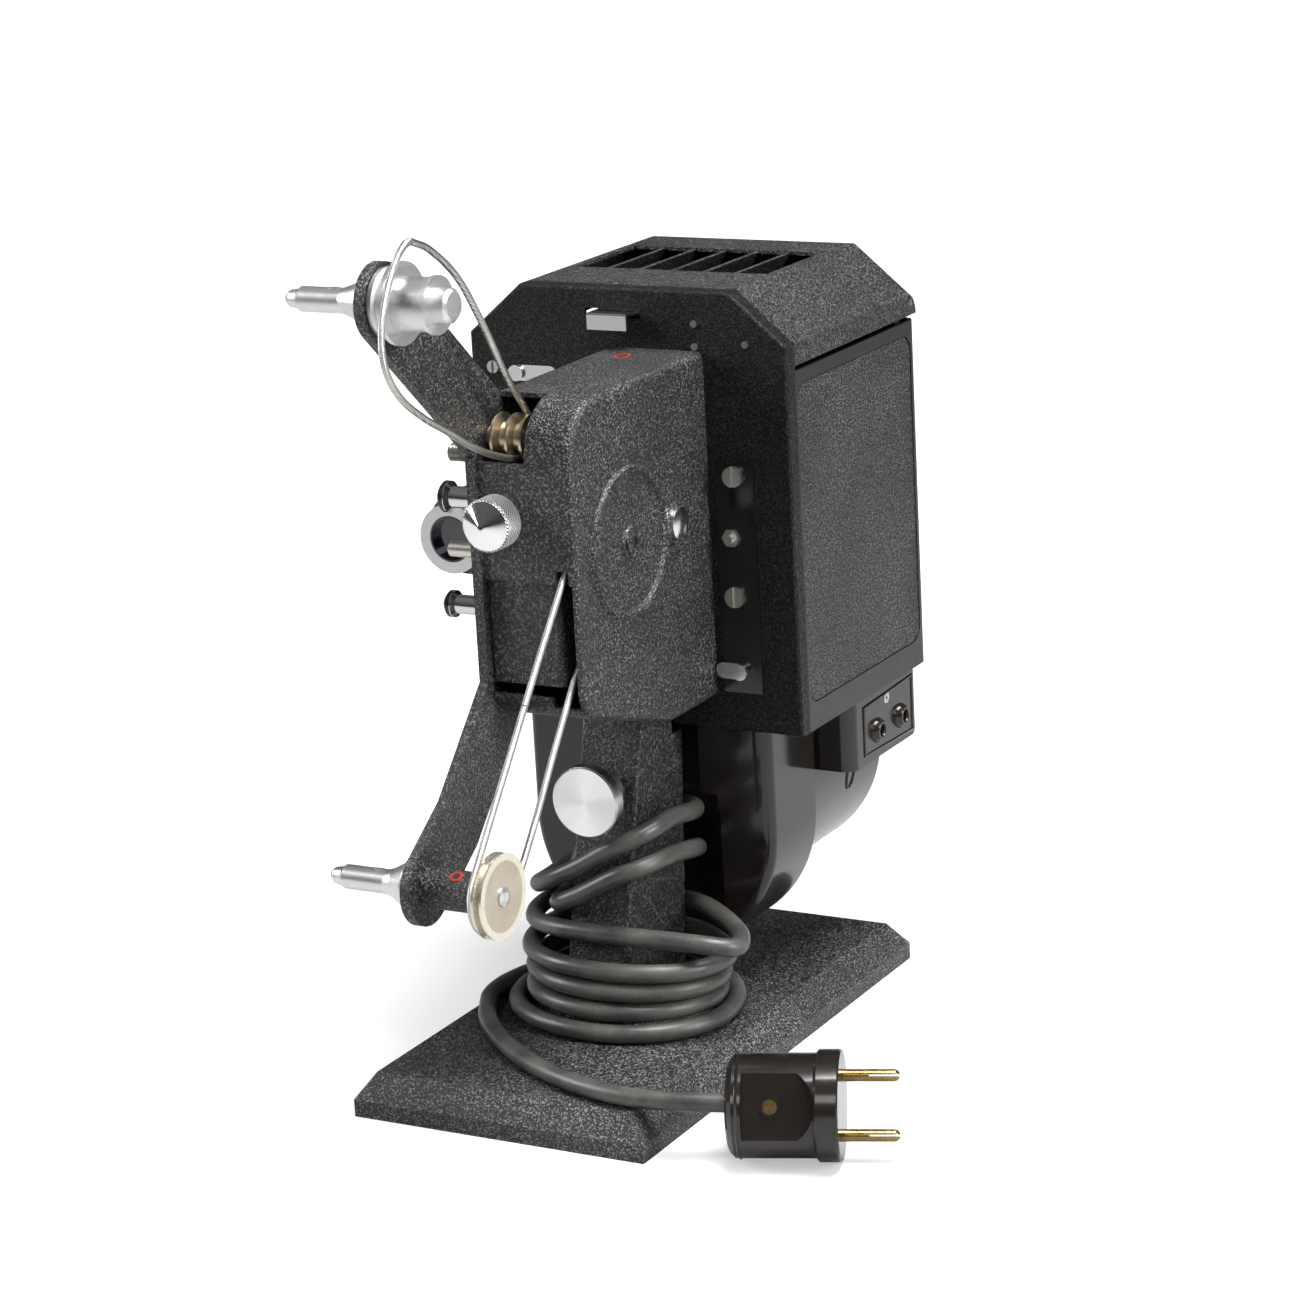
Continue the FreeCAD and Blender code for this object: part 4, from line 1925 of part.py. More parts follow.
def plug_body():
    """A moulded round plug with two flats, a bead towards the cord and a skirt towards the pins."""
    face = PLUG_BODY_L + PLUG_SKIRT_L
    neck = PLUG_EDGE_R
    bead = PLUG_FLAT_START - CUT
    shell = turned(
        "x", 0, 0,
        [
            (0, 0), (0, PLUG_NECK_R), (neck / 4, PLUG_BODY_R - neck), (neck / 2, PLUG_BODY_R - neck / 2),
            (neck, PLUG_BODY_R), (bead - CUT, PLUG_BODY_R), (bead - CUT / 2, PLUG_BODY_R + PLUG_BEAD_R),
            (bead, PLUG_BODY_R), (PLUG_BODY_L - CUT / 2, PLUG_BODY_R), (PLUG_BODY_L, PLUG_R - CUT / 2),
            (PLUG_BODY_L + CUT / 2, PLUG_R), (face - CUT / 2, PLUG_R), (face, PLUG_R - CUT / 2), (face, 0),
        ],
    )
    for side in (-1, 1):
        flat_end = PLUG_BODY_L - PLUG_FLAT_R
        sides = sorted((side * PLUG_FLAT, side * 2 * PLUG_R))
        flat = rod("y", flat_end, 0, PLUG_FLAT_R, sides[0], sides[1])
        flat = flat.fuse(box(PLUG_FLAT_START, flat_end, sides[0], sides[1], -PLUG_R, PLUG_R))
        keep = box(PLUG_FLAT_START, PLUG_BODY_L, -2 * PLUG_R, 2 * PLUG_R, -PLUG_R, PLUG_R)
        shell = shell.cut(flat.common(keep))
    for side in (-1, 1):
        z = side * PIN_PITCH / 2
        shell = shell.cut(rod("x", 0, z, PIN_R + RUN_FIT, face - PIN_SEAT, face + CUT))
    x = PLUG_SCREW_X
    rim = tube("y", x, 0, PLUG_SCREW_RIM_R, PLUG_SCREW_R + RUN_FIT, -PLUG_FLAT - CUT / 2, CUT - PLUG_FLAT)
    shell = joined(shell, rim)
    shell = shell.cut(
        rod("y", x, 0, PLUG_SCREW_R + RUN_FIT, -PLUG_FLAT - CUT, PLUG_SCREW_D - PLUG_FLAT)
    )
    return along_plug(shell)


def plug_contacts():
    """Two slit pins and the screw that holds the plug's halves."""
    face = PLUG_BODY_L + PLUG_SKIRT_L
    tip = face + PIN_L
    pieces = []
    for side in (-1, 1):
        z = side * PIN_PITCH / 2
        pin = rod("x", 0, z, PIN_R, face - PIN_SEAT, tip - PIN_R)
        pin = joined(pin, ball(tip - PIN_R, 0, z, PIN_R))
        slit = box(tip - PIN_SLIT_L, tip + CUT, -PIN_R, PIN_R, z - PIN_SLIT / 2, z + PIN_SLIT / 2)
        pieces.append(along_plug(pin.cut(slit)))
    start = CUT / 2 - PLUG_FLAT
    screw = rod("y", PLUG_SCREW_X, 0, PLUG_SCREW_R, start, PLUG_SCREW_D - PLUG_FLAT)
    slot = box(
        PLUG_SCREW_X - PLUG_SCREW_R, PLUG_SCREW_X + PLUG_SCREW_R, start - CUT, start + SLOT_D,
        -SLOT_W / 2, SLOT_W / 2,
    )
    pieces.append(along_plug(screw.cut(slot)))
    return pieces


# stand
save("base_plate", base_plate())
save("pedestal_column", pedestal_column())
save("column_screws", *column_screws())
save("tilt_pin", tilt_pin())
save("tilt_knob", tilt_knob())
save("tilt_screw", tilt_screw())
save("cord_gland", cord_gland())
save("cord_coil", cord_coil())
save("cord_lead", cord_lead())
save("plug_body", plug_body())
save("plug_contacts", *plug_contacts())

# head
save("tilt_lever", tilt_lever())
save("frame_plate", frame_plate())
save("upper_arm", upper_arm())
save("lower_arm", lower_arm())
save("arm_screws", *arm_screws())
save("drive_cover", drive_cover())
save("head_floor", head_floor())
save("belt_box", belt_box())
save("push_button", push_button())
save("upper_spindle", upper_spindle())
save("lower_spindle", lower_spindle())
save("reel_pulley", reel_pulley())
save("main_shaft", main_shaft())
save("twin_pulley", twin_pulley())
save("shutter_shaft", shutter_shaft())
save("inching_knob", inching_knob())
save("shutter_disc", shutter_disc())
save("bearing_blocks", *bearing_blocks())

# film side
save("lens_barrel", *lens_barrel())
save("lens_holder", lens_holder())
save("gate_block", gate_block())
save("claw", claw())
save("pressure_plate", pressure_plate())
save("upper_roller", film_roller("upper"))
save("lower_roller", film_roller("lower"))
save("film_guides", *film_guides())

# lamphouse and its optics
save("house_front", house_front())
save("house_wrap", house_wrap())
save("side_panels", *side_panels())
save("house_floor", house_floor())
save("hinge_pin", *hinge_pin())
save("lamphouse_lid", lamphouse_lid())
save("lid_latch", lid_latch())
save("strip_plate", strip_plate())
save("panel_screws", *panel_screws())
save("clutch_lever", clutch_lever())
save("top_lever", top_lever())
save("lamp", *lamp())
save("lamp_socket", lamp_socket())
save("reflector", reflector())
save("condenser", *condenser())

# motor and belts
save("motor_front_shell", motor_front_shell())
save("motor_rear_shell", motor_rear_shell())
save("motor_stator", motor_stator())
save("motor_rotor", *motor_rotor())
save("inlet_block", inlet_block())
save("inner_belts", *inner_belts())
save("upper_belt", upper_belt())
save("lower_belt", lower_belt())
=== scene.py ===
import math

import bmesh
import bpy
from mathutils import Matrix, Vector


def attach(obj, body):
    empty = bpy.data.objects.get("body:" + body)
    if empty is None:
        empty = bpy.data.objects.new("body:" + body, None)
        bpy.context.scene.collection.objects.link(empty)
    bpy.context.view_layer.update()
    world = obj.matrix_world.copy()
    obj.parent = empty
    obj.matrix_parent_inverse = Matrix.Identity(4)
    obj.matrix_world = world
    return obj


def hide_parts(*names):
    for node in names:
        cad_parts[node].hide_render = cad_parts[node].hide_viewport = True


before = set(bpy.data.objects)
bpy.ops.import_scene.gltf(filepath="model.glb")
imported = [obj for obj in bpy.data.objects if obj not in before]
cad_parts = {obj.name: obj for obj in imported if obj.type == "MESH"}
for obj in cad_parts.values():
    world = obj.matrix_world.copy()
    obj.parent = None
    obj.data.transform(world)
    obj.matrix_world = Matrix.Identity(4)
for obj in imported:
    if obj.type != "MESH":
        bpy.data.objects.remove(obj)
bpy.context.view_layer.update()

MM = 0.001
SHARP_ANGLE = math.radians(40)

# camera, in millimetres and radians
CAMERA_PLACE = (628.43, -1096.84, 488.97)
CAMERA_YAW = 0.5143
CAMERA_PITCH = 0.2689
CAMERA_ROLL = -0.0555
CAMERA_LENS = 107.71
CAMERA_SENSOR = 36.0

# the cord's route, as in the model: places and headings of the drape, then the flat turns
CORD_D = 6.4
CORD_R = CORD_D / 2
CORD_REST_Z = 18.2
DRAPE = (
    (-1.0, 20.5, 68.0, 180), (-7.4, 20.5, 68.0, 180), (-18.5, 14.5, 65.4, 220),
    (-31.0, -9.0, 56.5, 270), (-10.4, -26.9, 67.6, 4), (8.4, -25.6, 78.2, 10),
    (18.6, -9.0, 83.4, 90), (16.8, 14.7, 80.0, 118), (5.0, 22.8, 78.0, 180),
    (-15.0, 17.6, 74.0, 222), (-20.4, 4.0, 68.0, 268), (-20.4, -13.0, 54.5, 275),
    (-10.0, -28.6, 58.2, 5), (10.0, -27.6, 68.6, 14), (19.2, -12.0, 71.2, 92),
    (17.6, 13.5, 66.5, 115), (4.0, 22.6, 59.5, 180), (-14.8, 16.4, 54.5, 225),
    (-30.6, -15.0, 48.8, 270), (2.0, -33.4, 48.8, 1), (40.0, -29.5, 48.2, 8),
    (50.0, -19.5, 45.8, 105), (25.9, 7.8, 46.2, 140), (1.0, 20.0, 44.0, 180),
)
FLAT_DRAPE_PLACES = 2
TURNS = (
    (-31.3, -41.6, 40.5, 19.8), (-30.0, -42.2, 37.6, 19.8),
    (-30.0, -43.2, 35.2, 19.6), (-37.5, -46.4, 40.3, 26.6),
)
TURN_PITCH = 7.0
LOWEST_PITCH = 6.5
TURN_SIDE_Y = -15.0
TURN_MIDDLE_X = 3.0
TURN_CORNER = (-17.6, 14.6)
LOWEST_CORNER = (-20.5, 13.5)
TURN_CORNER_HEADING = 225
TURN_CORNER_SHARE = 0.7
TURN_BEND_SHARE = 0.35
TURN_BEND_X = 12.4
TURN_BEND_Y = 7.8
TURN_BEND_HEADING = 140
TURN_LEFT_RISE = 1.1
TURN_RIGHT_FALL = 1.4
TURN_REAR_FALL = 4.2
CLIMB_SHARE = math.cos(math.radians(20))
COIL_EXIT = ((-46.2, -14.0, 270), (-43.6, -31.0, 298))
EXIT_RUN = 13.0
LEAD = ((-16.5, -66.5), (7.0, -82.3), (34.0, -92.0))
PLUG_PLACE = (78.2, -86.3, 18.8)
PLUG_TURN = 21.0
PLUG_RUN = 20.0
POINTS_PER_SPAN = 5

# places of round pieces that a finish follows, across and upward in millimetres
TILT_KNOB_AXIS = (0.0, 94.5)
INCHING_KNOB_AXIS = (3.2, 204.0)
KNURL_START_R = 8.0
KNURL_FULL_R = 8.4
KNURLS = 44.0
KNURL_WAVES = 5400.0
REEL_PULLEY_AXIS = (-122.6, 93.8)
REEL_FACE_R = 11.2
REEL_RIM_R = 11.8
LENS_AXIS = (-28.2, 190.6)
LENS_FRONT_Y = -58.5
LENS_RING_R = 7.8
LENS_GLASS_R = 7.3
ROLLER_START_X = -23.6
ROLLER_END_X = -12.4
BULB_CAP_Z = 151.5
BULB_CLEAR_Z = 153.0

# small details: oil holes, the cover's boss, the mains inlet and the rear shell's vent
COVER_OIL_PLACE = (6.4, -0.5, 241.4)
COVER_OIL_R = 2.9
BOSS_R = 6.6
BOSS_OIL_X = 7.0
BOSS_OIL_LEAN = math.radians(-26)
BOSS_OIL_R = 2.2
OIL_RIM_W = 0.9
COVER_BOSS_PLACE = (29.5, -43.0, 189.5)
INLET_X = 57.0
INLET_HOLES_Z = 94.0
INLET_HOLES_Y = (("front", 77.5), ("rear", 96.5))
INLET_CORNERS = ((66.5, 105.4), (66.4, 87.0), (107.0, 85.8), (107.2, 106.6))
INLET_BORDER_W = 1.0
INLET_BORDER_H = 0.5
EYELET_PLACE = (INLET_X, 85.6, 103.7)
SHELL_X = -4.5
SHELL_Z = 80.7
SHELL_R = 46.4
VENT_Y = 86.4
VENT_Z = 73.5
VENT_HALF_W = 2.8
VENT_HALF_H = 5.5
VENT_RIM_R = 0.6
VENT_POINTS = 16
SUNK = 0.2

# studio, in metres and watts: name, place, size and power of each light
FLOOR_HALF = 6.0
GLOW_NEAR = 0.15
GLOW_FAR = 0.9
LIGHT_TARGET = (0.0, 0.0, 0.15)
LIGHTS = (
    ("top_box", (0.3, 0.0, 1.3), (0.8, 0.5), 36.0),
    ("left_box", (-1.5, -0.7, 0.9), (0.4, 1.0), 24.0),
    ("front_box", (0.5, -1.6, 1.1), (0.5, 0.5), 4.0),
    ("right_box", (1.6, -0.1, 0.8), (0.3, 1.0), 28.0),
)


# small helpers


def link(obj):
    bpy.context.scene.collection.objects.link(obj)
    return obj


def heading_vector(degrees):
    angle = math.radians(degrees)
    return Vector((math.cos(angle), math.sin(angle), 0.0))


def mesh_piece(name, bm, material, body):
    """Turns millimetre geometry into a piece that rides on a body."""
    bmesh.ops.remove_doubles(bm, verts=bm.verts, dist=1e-4)
    bmesh.ops.recalc_face_normals(bm, faces=bm.faces)
    bmesh.ops.scale(bm, vec=(MM, MM, MM), verts=bm.verts)
    mesh = bpy.data.meshes.new(name)
    bm.to_mesh(mesh)
    bm.free()
    mesh.materials.append(material)
    mesh.shade_smooth()
    mesh.set_sharp_from_angle(angle=SHARP_ANGLE)
    piece = link(bpy.data.objects.new(name, mesh))
    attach(piece, body)


def round_curve(name, points, radius, material, facets, steps):
    """A round rod of one open smooth curve along points in millimetres."""
    curve = bpy.data.curves.new(name, "CURVE")
    curve.dimensions = "3D"
    curve.bevel_depth = radius * MM
    curve.bevel_resolution = facets
    curve.resolution_u = steps
    spline = curve.splines.new("NURBS")
    spline.points.add(len(points) - 1)
    for target, point in zip(spline.points, points):
        target.co = (*(Vector(point) * MM), 1.0)
    spline.order_u = 3
    spline.use_endpoint_u = True
    curve.materials.append(material)
    return link(bpy.data.objects.new(name, curve))


# camera


def camera_axes():
    """Right, up and back vectors of the photograph's view."""
    back = Vector((
        math.sin(CAMERA_YAW) * math.cos(CAMERA_PITCH),
        -math.cos(CAMERA_YAW) * math.cos(CAMERA_PITCH),
        math.sin(CAMERA_PITCH),
    ))
    level = Vector((math.cos(CAMERA_YAW), math.sin(CAMERA_YAW), 0.0))
    upright = back.cross(level)
    right = math.cos(CAMERA_ROLL) * level + math.sin(CAMERA_ROLL) * upright
    up = math.cos(CAMERA_ROLL) * upright - math.sin(CAMERA_ROLL) * level
    return right, up, back


def make_camera():
    data = bpy.data.cameras.new("photo_camera")
    data.lens = CAMERA_LENS
    data.sensor_width = CAMERA_SENSOR
    data.clip_start = 0.05
    data.clip_end = 20.0
    camera = link(bpy.data.objects.new("photo_camera", data))
    turn = Matrix(camera_axes()).transposed().to_4x4()
    camera.matrix_world = Matrix.Translation(Vector(CAMERA_PLACE) * MM) @ turn
    bpy.context.scene.camera = camera


# cord


def turn_places():
    """Places and headings of the flat turns, each one like the last but a pitch lower."""
    places = []
    last = len(TURNS) - 1
    behind = DRAPE[-1][2]
    for index, (left, front, right, rear) in enumerate(TURNS):
        lowest = index == last
        level = CORD_REST_Z
        if not lowest:
            level += LOWEST_PITCH + TURN_PITCH * (last - 1 - index)
        left_z = level + TURN_LEFT_RISE
        corner_z = left_z + (behind - left_z) * TURN_CORNER_SHARE
        corner = LOWEST_CORNER if lowest else TURN_CORNER
        behind = level if lowest else level - TURN_REAR_FALL
        places.append((*corner, corner_z, TURN_CORNER_HEADING))
        places.append((left, TURN_SIDE_Y, left_z, 270))
        places.append((TURN_MIDDLE_X, front, level, 0))
        if lowest:
            places.append((right, TURN_SIDE_Y, level, 90))
        else:
            bend_x = right * TURN_BEND_SHARE + TURN_BEND_X
            places.append((right, TURN_SIDE_Y, level - TURN_RIGHT_FALL, 90))
            places.append((bend_x, TURN_BEND_Y, level - 2 * TURN_RIGHT_FALL, TURN_BEND_HEADING))
        places.append((0.0, rear, behind, 180))
    return places


def travel_ways(places, spots):
    """The direction of the cord at each place, from its heading and the places beside it."""
    ways = []
    for index, place in enumerate(places):
        before = spots[max(index - 1, 0)]
        after = spots[min(index + 1, len(spots) - 1)]
        way = heading_vector(place[3])
        if index >= FLAT_DRAPE_PLACES:
            run = math.hypot(after.x - before.x, after.y - before.y)
            way.z = (after.z - before.z) / run * CLIMB_SHARE
        ways.append(way.normalized())
    return ways


def coil_points():
    """The coil's places joined by smooth curves, as more points of the cord's spline."""
    places = list(DRAPE) + turn_places()
    places += [(x, y, CORD_REST_Z, heading) for x, y, heading in COIL_EXIT]
    spots = [Vector(place[:3]) for place in places]
    ways = travel_ways(places, spots)
    points = []
    for start, end, leave, arrive in zip(spots, spots[1:], ways, ways[1:]):
        pull = (end - start).length / math.cos(leave.angle(arrive) / 4) ** 2
        for step in range(POINTS_PER_SPAN):
            t = step / POINTS_PER_SPAN
            points.append(
                start * (1 + 2 * t) * (1 - t) ** 2 + leave * pull * t * (1 - t) ** 2
                + end * t * t * (3 - 2 * t) + arrive * pull * t * t * (t - 1)
            )
    points.append(spots[-1])
    return points


def lead_points():
    """From the coil's last bend over the base plate to the plug, as in the model."""
    x, y, heading = COIL_EXIT[-1]
    start = Vector((x, y, CORD_REST_Z))
    way = heading_vector(heading)
    plug = Vector(PLUG_PLACE)
    points = [start + way * CORD_D, start + way * (CORD_D + EXIT_RUN)]
    points += [Vector((x, y, CORD_REST_Z)) for x, y in LEAD]
    points += [plug - heading_vector(PLUG_TURN) * PLUG_RUN, plug]
    return points


def make_cord():
    points = coil_points() + lead_points()
    cord = round_curve("mains_cord", points, CORD_R, RUBBER, facets=5, steps=4)
    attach(cord, "stand")
    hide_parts("cord_coil", "cord_lead")


# material building blocks


def put(tree, socket, value):
    """Joins a socket to another node's value, or sets a plain one."""
    if isinstance(value, bpy.types.NodeSocket):
        tree.links.new(value, socket)
    else:
        socket.default_value = value


def add_node(tree, kind, inputs=None, **settings):
    node = tree.nodes.new(kind)
    for name, value in settings.items():
        setattr(node, name, value)
    for socket, value in (inputs or {}).items():
        put(tree, node.inputs[socket], value)
    return node


def wire(tree, shader, **sockets):
    for name, value in sockets.items():
        put(tree, shader.inputs[name.replace("_", " ")], value)


def maths(tree, operation, first, second=0.0, third=0.0):
    values = {0: first, 1: second, 2: third}
    return add_node(tree, "ShaderNodeMath", values, operation=operation).outputs[0]


def between(tree, value, low, high, start=0.0, end=1.0):
    """Maps a value from one range to another and keeps it inside."""
    return add_node(
        tree, "ShaderNodeMapRange",
        {"Value": value, "From Min": low, "From Max": high, "To Min": start, "To Max": end},
    ).outputs[0]


def mixed(tree, factor, first, second):
    """A colour between two others."""
    colors = {0: factor, 6: first, 7: second}
    return add_node(tree, "ShaderNodeMix", colors, data_type="RGBA").outputs[2]


def rest_place(tree):
    """The place on the object in metres, which moves with the piece."""
    return add_node(tree, "ShaderNodeTexCoord").outputs["Object"]


def axis_places(tree, place):
    return add_node(tree, "ShaderNodeSeparateXYZ", {0: place}).outputs


def axis_steps(tree, place, axes, centre):
    """Steps in metres along two axes from a centre in millimetres."""
    parts = axis_places(tree, place)
    return [maths(tree, "SUBTRACT", parts[axis], way * MM) for axis, way in zip(axes, centre)]


def step_length(tree, across, upward):
    squares = maths(tree, "MULTIPLY_ADD", across, across, maths(tree, "MULTIPLY", upward, upward))
    return maths(tree, "SQRT", squares)


def noise(tree, place, scale, detail=3.0, roughness=0.5):
    return add_node(
        tree, "ShaderNodeTexNoise",
        {"Vector": place, "Scale": scale, "Detail": detail, "Roughness": roughness},
    ).outputs["Fac"]


def lathe_rings(tree, distance, scale, detail):
    """Fine uneven rings round an axis."""
    return add_node(
        tree, "ShaderNodeTexNoise", {"W": distance, "Scale": scale, "Detail": detail},
        noise_dimensions="1D",
    ).outputs["Fac"]


def bumped(tree, height, strength, distance):
    """The surface's direction, tilted by a height whose full step is a distance in metres."""
    return add_node(
        tree, "ShaderNodeBump", {"Height": height, "Strength": strength, "Distance": distance}
    ).outputs[0]


def grey(level, warm=0.0):
    return (level * (1 + warm), level, level * (1 - warm), 1.0)


def tint(red, green, blue):
    return (red, green, blue, 1.0)


def new_material(name):
    material = bpy.data.materials.new(name)
    material.use_nodes = True
    tree = material.node_tree
    return material, tree, tree.nodes["Principled BSDF"]


def new_group(name, inputs, outputs):
    group = bpy.data.node_groups.new(name, "ShaderNodeTree")
    for socket, kind, value in inputs:
        made = group.interface.new_socket(socket, in_out="INPUT", socket_type=kind)
        made.default_value = value
    for socket, kind in outputs:
        group.interface.new_socket(socket, in_out="OUTPUT", socket_type=kind)
    given = group.nodes.new("NodeGroupInput").outputs
    return group, given, group.nodes.new("NodeGroupOutput").inputs


# shared effects


def wrinkle_group():
    """Wrinkled stoving paint: small glossy bumps, with pale wear and painted highlight specks on
    their tops.
    """
    group, given, out = new_group(
        "wrinkle_paint",
        [
            ("Size", "NodeSocketFloat", 1.0),
            ("Depth", "NodeSocketFloat", 1.0),
            ("Wear_And_Glint", "NodeSocketFloat", 0.5),
            ("Dark", "NodeSocketColor", grey(0.01)),
            ("Pale", "NodeSocketColor", grey(0.06)),
        ],
        [
            ("Color", "NodeSocketColor"),
            ("Roughness", "NodeSocketFloat"),
            ("Normal", "NodeSocketVector"),
        ],
    )
    rest = rest_place(group)
    place = add_node(
        group, "ShaderNodeVectorMath", {0: rest, 3: given["Size"]}, operation="SCALE"
    ).outputs[0]
    lumps = add_node(
        group, "ShaderNodeTexNoise",
        {"Vector": place, "Scale": 900.0, "Detail": 1.0, "Distortion": 0.6},
    ).outputs["Fac"]
    broad = noise(group, place, 420.0, 2.0)
    height = maths(group, "MULTIPLY_ADD", broad, 0.4, between(group, lumps, 0.38, 0.66))
    cloud = between(group, noise(group, rest, 30.0, 3.0), 0.3, 0.7, 0.5, 1.0)
    worn = maths(group, "MULTIPLY", cloud, given["Wear_And_Glint"])
    # the pale tone on the bump tops is partly wear and partly painted highlight specks
    wear_and_glint_tops = maths(group, "MULTIPLY", between(group, height, 0.8, 1.15), worn)
    put(group, out["Color"], mixed(group, wear_and_glint_tops, given["Dark"], given["Pale"]))
    put(group, out["Roughness"], between(group, height, 0.2, 1.2, 0.5, 0.3))
    put(group, out["Normal"], bumped(group, height, given["Depth"], 0.0003))
    return group


def handling_group():
    """Fine scratches and smudges of handled metal or resin."""
    group, given, out = new_group(
        "handling",
        [
            ("Base", "NodeSocketFloat", 0.2),
            ("Spread", "NodeSocketFloat", 0.15),
            ("Depth", "NodeSocketFloat", 0.2),
        ],
        [
            ("Amount", "NodeSocketFloat"),
            ("Roughness", "NodeSocketFloat"),
            ("Normal", "NodeSocketVector"),
        ],
    )
    place = rest_place(group)
    streaks = add_node(
        group, "ShaderNodeMapping",
        {"Vector": place, "Scale": (2400.0, 160.0, 900.0), "Rotation": (0.5, 0.8, 0.3)},
    ).outputs[0]
    scratch = noise(group, streaks, 1.0, 2.0, 0.6)
    smudge = between(group, noise(group, place, 60.0, 4.0, 0.6), 0.35, 0.75)
    amount = maths(group, "MULTIPLY", smudge, between(group, scratch, 0.3, 0.8))
    put(group, out["Amount"], amount)
    rough = maths(group, "MULTIPLY_ADD", amount, given["Spread"], given["Base"])
    put(group, out["Roughness"], rough)
    put(group, out["Normal"], bumped(group, scratch, given["Depth"], 0.00004))
    return group


WRINKLE = wrinkle_group()
HANDLING = handling_group()


def touched(tree, base, spread, depth):
    """The handling effect's amount, roughness and normal."""
    values = {"Base": base, "Spread": spread, "Depth": depth}
    return add_node(tree, "ShaderNodeGroup", values, node_tree=HANDLING).outputs


# materials


def crinkle(name, size, depth, wear_and_glint, dark, pale, shine=0.5):
    """Baked crinkle paint, with shine as the strength of its own reflections."""
    material, tree, shader = new_material(name)
    values = {"Size": size, "Depth": depth, "Wear_And_Glint": wear_and_glint, "Dark": dark, "Pale": pale}
    paint = add_node(tree, "ShaderNodeGroup", values, node_tree=WRINKLE).outputs
    wire(
        tree, shader, Base_Color=paint["Color"], Roughness=paint["Roughness"],
        Normal=paint["Normal"], Specular_IOR_Level=shine,
    )
    return material


def handled(name, main, rubbed, base, spread, depth, metallic=0.0):
    """Handled metal or resin: two close tones under smudges and scratches."""
    material, tree, shader = new_material(name)
    touch = touched(tree, base, spread, depth)
    tone = mixed(tree, touch["Amount"], main, rubbed)
    wire(
        tree, shader, Base_Color=tone, Metallic=metallic,
        Roughness=touch["Roughness"], Normal=touch["Normal"],
    )
    return material


def metal(name, main, rubbed, base, spread, depth):
    return handled(name, main, rubbed, base, spread, depth, 1.0)


def spun_metal():
    """The tilt knob's face: turned rings that throw light in fans."""
    material, tree, shader = new_material("spun_aluminium")
    steps = axis_steps(tree, rest_place(tree), "XZ", TILT_KNOB_AXIS)
    rings = lathe_rings(tree, step_length(tree, *steps), 5200.0, 2.0)
    tone = mixed(tree, rings, tint(0.6, 0.61, 0.62), tint(0.86, 0.87, 0.88))
    tangent = add_node(tree, "ShaderNodeTangent", direction_type="RADIAL", axis="Y").outputs[0]
    wire(
        tree, shader, Base_Color=tone, Metallic=1.0, Roughness=0.26, Anisotropic=0.9,
        Normal=bumped(tree, rings, 0.25, 0.00004), Tangent=tangent,
    )
    return material


def knurled_chrome():
    """The inching knob: a polished cone before a side with crossed knurls."""
    material, tree, shader = new_material("knurled_chrome")
    place = rest_place(tree)
    across, upward = axis_steps(tree, place, "XZ", INCHING_KNOB_AXIS)
    distance = step_length(tree, across, upward)
    side = between(tree, distance, KNURL_START_R * MM, KNURL_FULL_R * MM)
    angle = maths(tree, "MULTIPLY", maths(tree, "ARCTAN2", upward, across), KNURLS)
    along = maths(tree, "MULTIPLY", axis_places(tree, place)["Y"], KNURL_WAVES)
    first = maths(tree, "SINE", maths(tree, "ADD", angle, along))
    second = maths(tree, "SINE", maths(tree, "SUBTRACT", angle, along))
    knurl = maths(tree, "MULTIPLY", maths(tree, "ADD", first, second), side)
    # the knurl's grooves are painted dark grey and its ridges pale: painted shade in the grooves
    tone = mixed(tree, between(tree, knurl, -0.9, 0.0), grey(0.16), grey(0.8))
    touch = touched(tree, 0.09, 0.2, 0.05)
    rough = maths(tree, "MULTIPLY_ADD", side, 0.22, touch["Roughness"])
    wire(
        tree, shader, Base_Color=tone, Metallic=1.0, Roughness=rough,
        Normal=bumped(tree, knurl, 1.0, 0.0004),
    )
    return material


def cord_rubber():
    """Old rubber, rubbed grey and brown where it has lain in dust."""
    material, tree, shader = new_material("cord_rubber")
    place = rest_place(tree)
    patches = noise(tree, place, 55.0, 4.0, 0.6)
    specks = noise(tree, place, 1100.0, 3.0, 0.6)
    lumps = noise(tree, place, 240.0, 2.0)
    worn = mixed(tree, between(tree, patches, 0.35, 0.7), grey(0.028), tint(0.085, 0.08, 0.072))
    dusty = between(tree, specks, 0.62, 0.78, 0.0, 0.7)
    height = maths(tree, "MULTIPLY_ADD", specks, 0.4, lumps)
    wire(
        tree, shader, Base_Color=mixed(tree, dusty, worn, tint(0.2, 0.185, 0.16)),
        Roughness=between(tree, patches, 0.3, 0.75, 0.32, 0.5),
        Normal=bumped(tree, height, 0.35, 0.0003),
    )
    return material


def moulded_resin():
    """Glossy pressed resin, nearly black with a brown cast and fine dust."""
    material, tree, shader = new_material("black_resin")
    place = rest_place(tree)
    cloud = noise(tree, place, 34.0, 4.0, 0.6)
    dust = between(tree, noise(tree, place, 2600.0, 1.0), 0.72, 0.8, 0.0, 0.15)
    base = mixed(tree, cloud, tint(0.006, 0.0055, 0.005), tint(0.016, 0.012, 0.010))
    waves = noise(tree, place, 90.0, 2.0)
    wire(
        tree, shader, Base_Color=mixed(tree, dust, base, tint(0.12, 0.11, 0.1)),
        Roughness=between(tree, cloud, 0.3, 0.75, 0.12, 0.24),
        Normal=bumped(tree, waves, 0.05, 0.0006),
        Specular_IOR_Level=0.4, Coat_Weight=0.15, Coat_Roughness=0.06,
    )
    return material


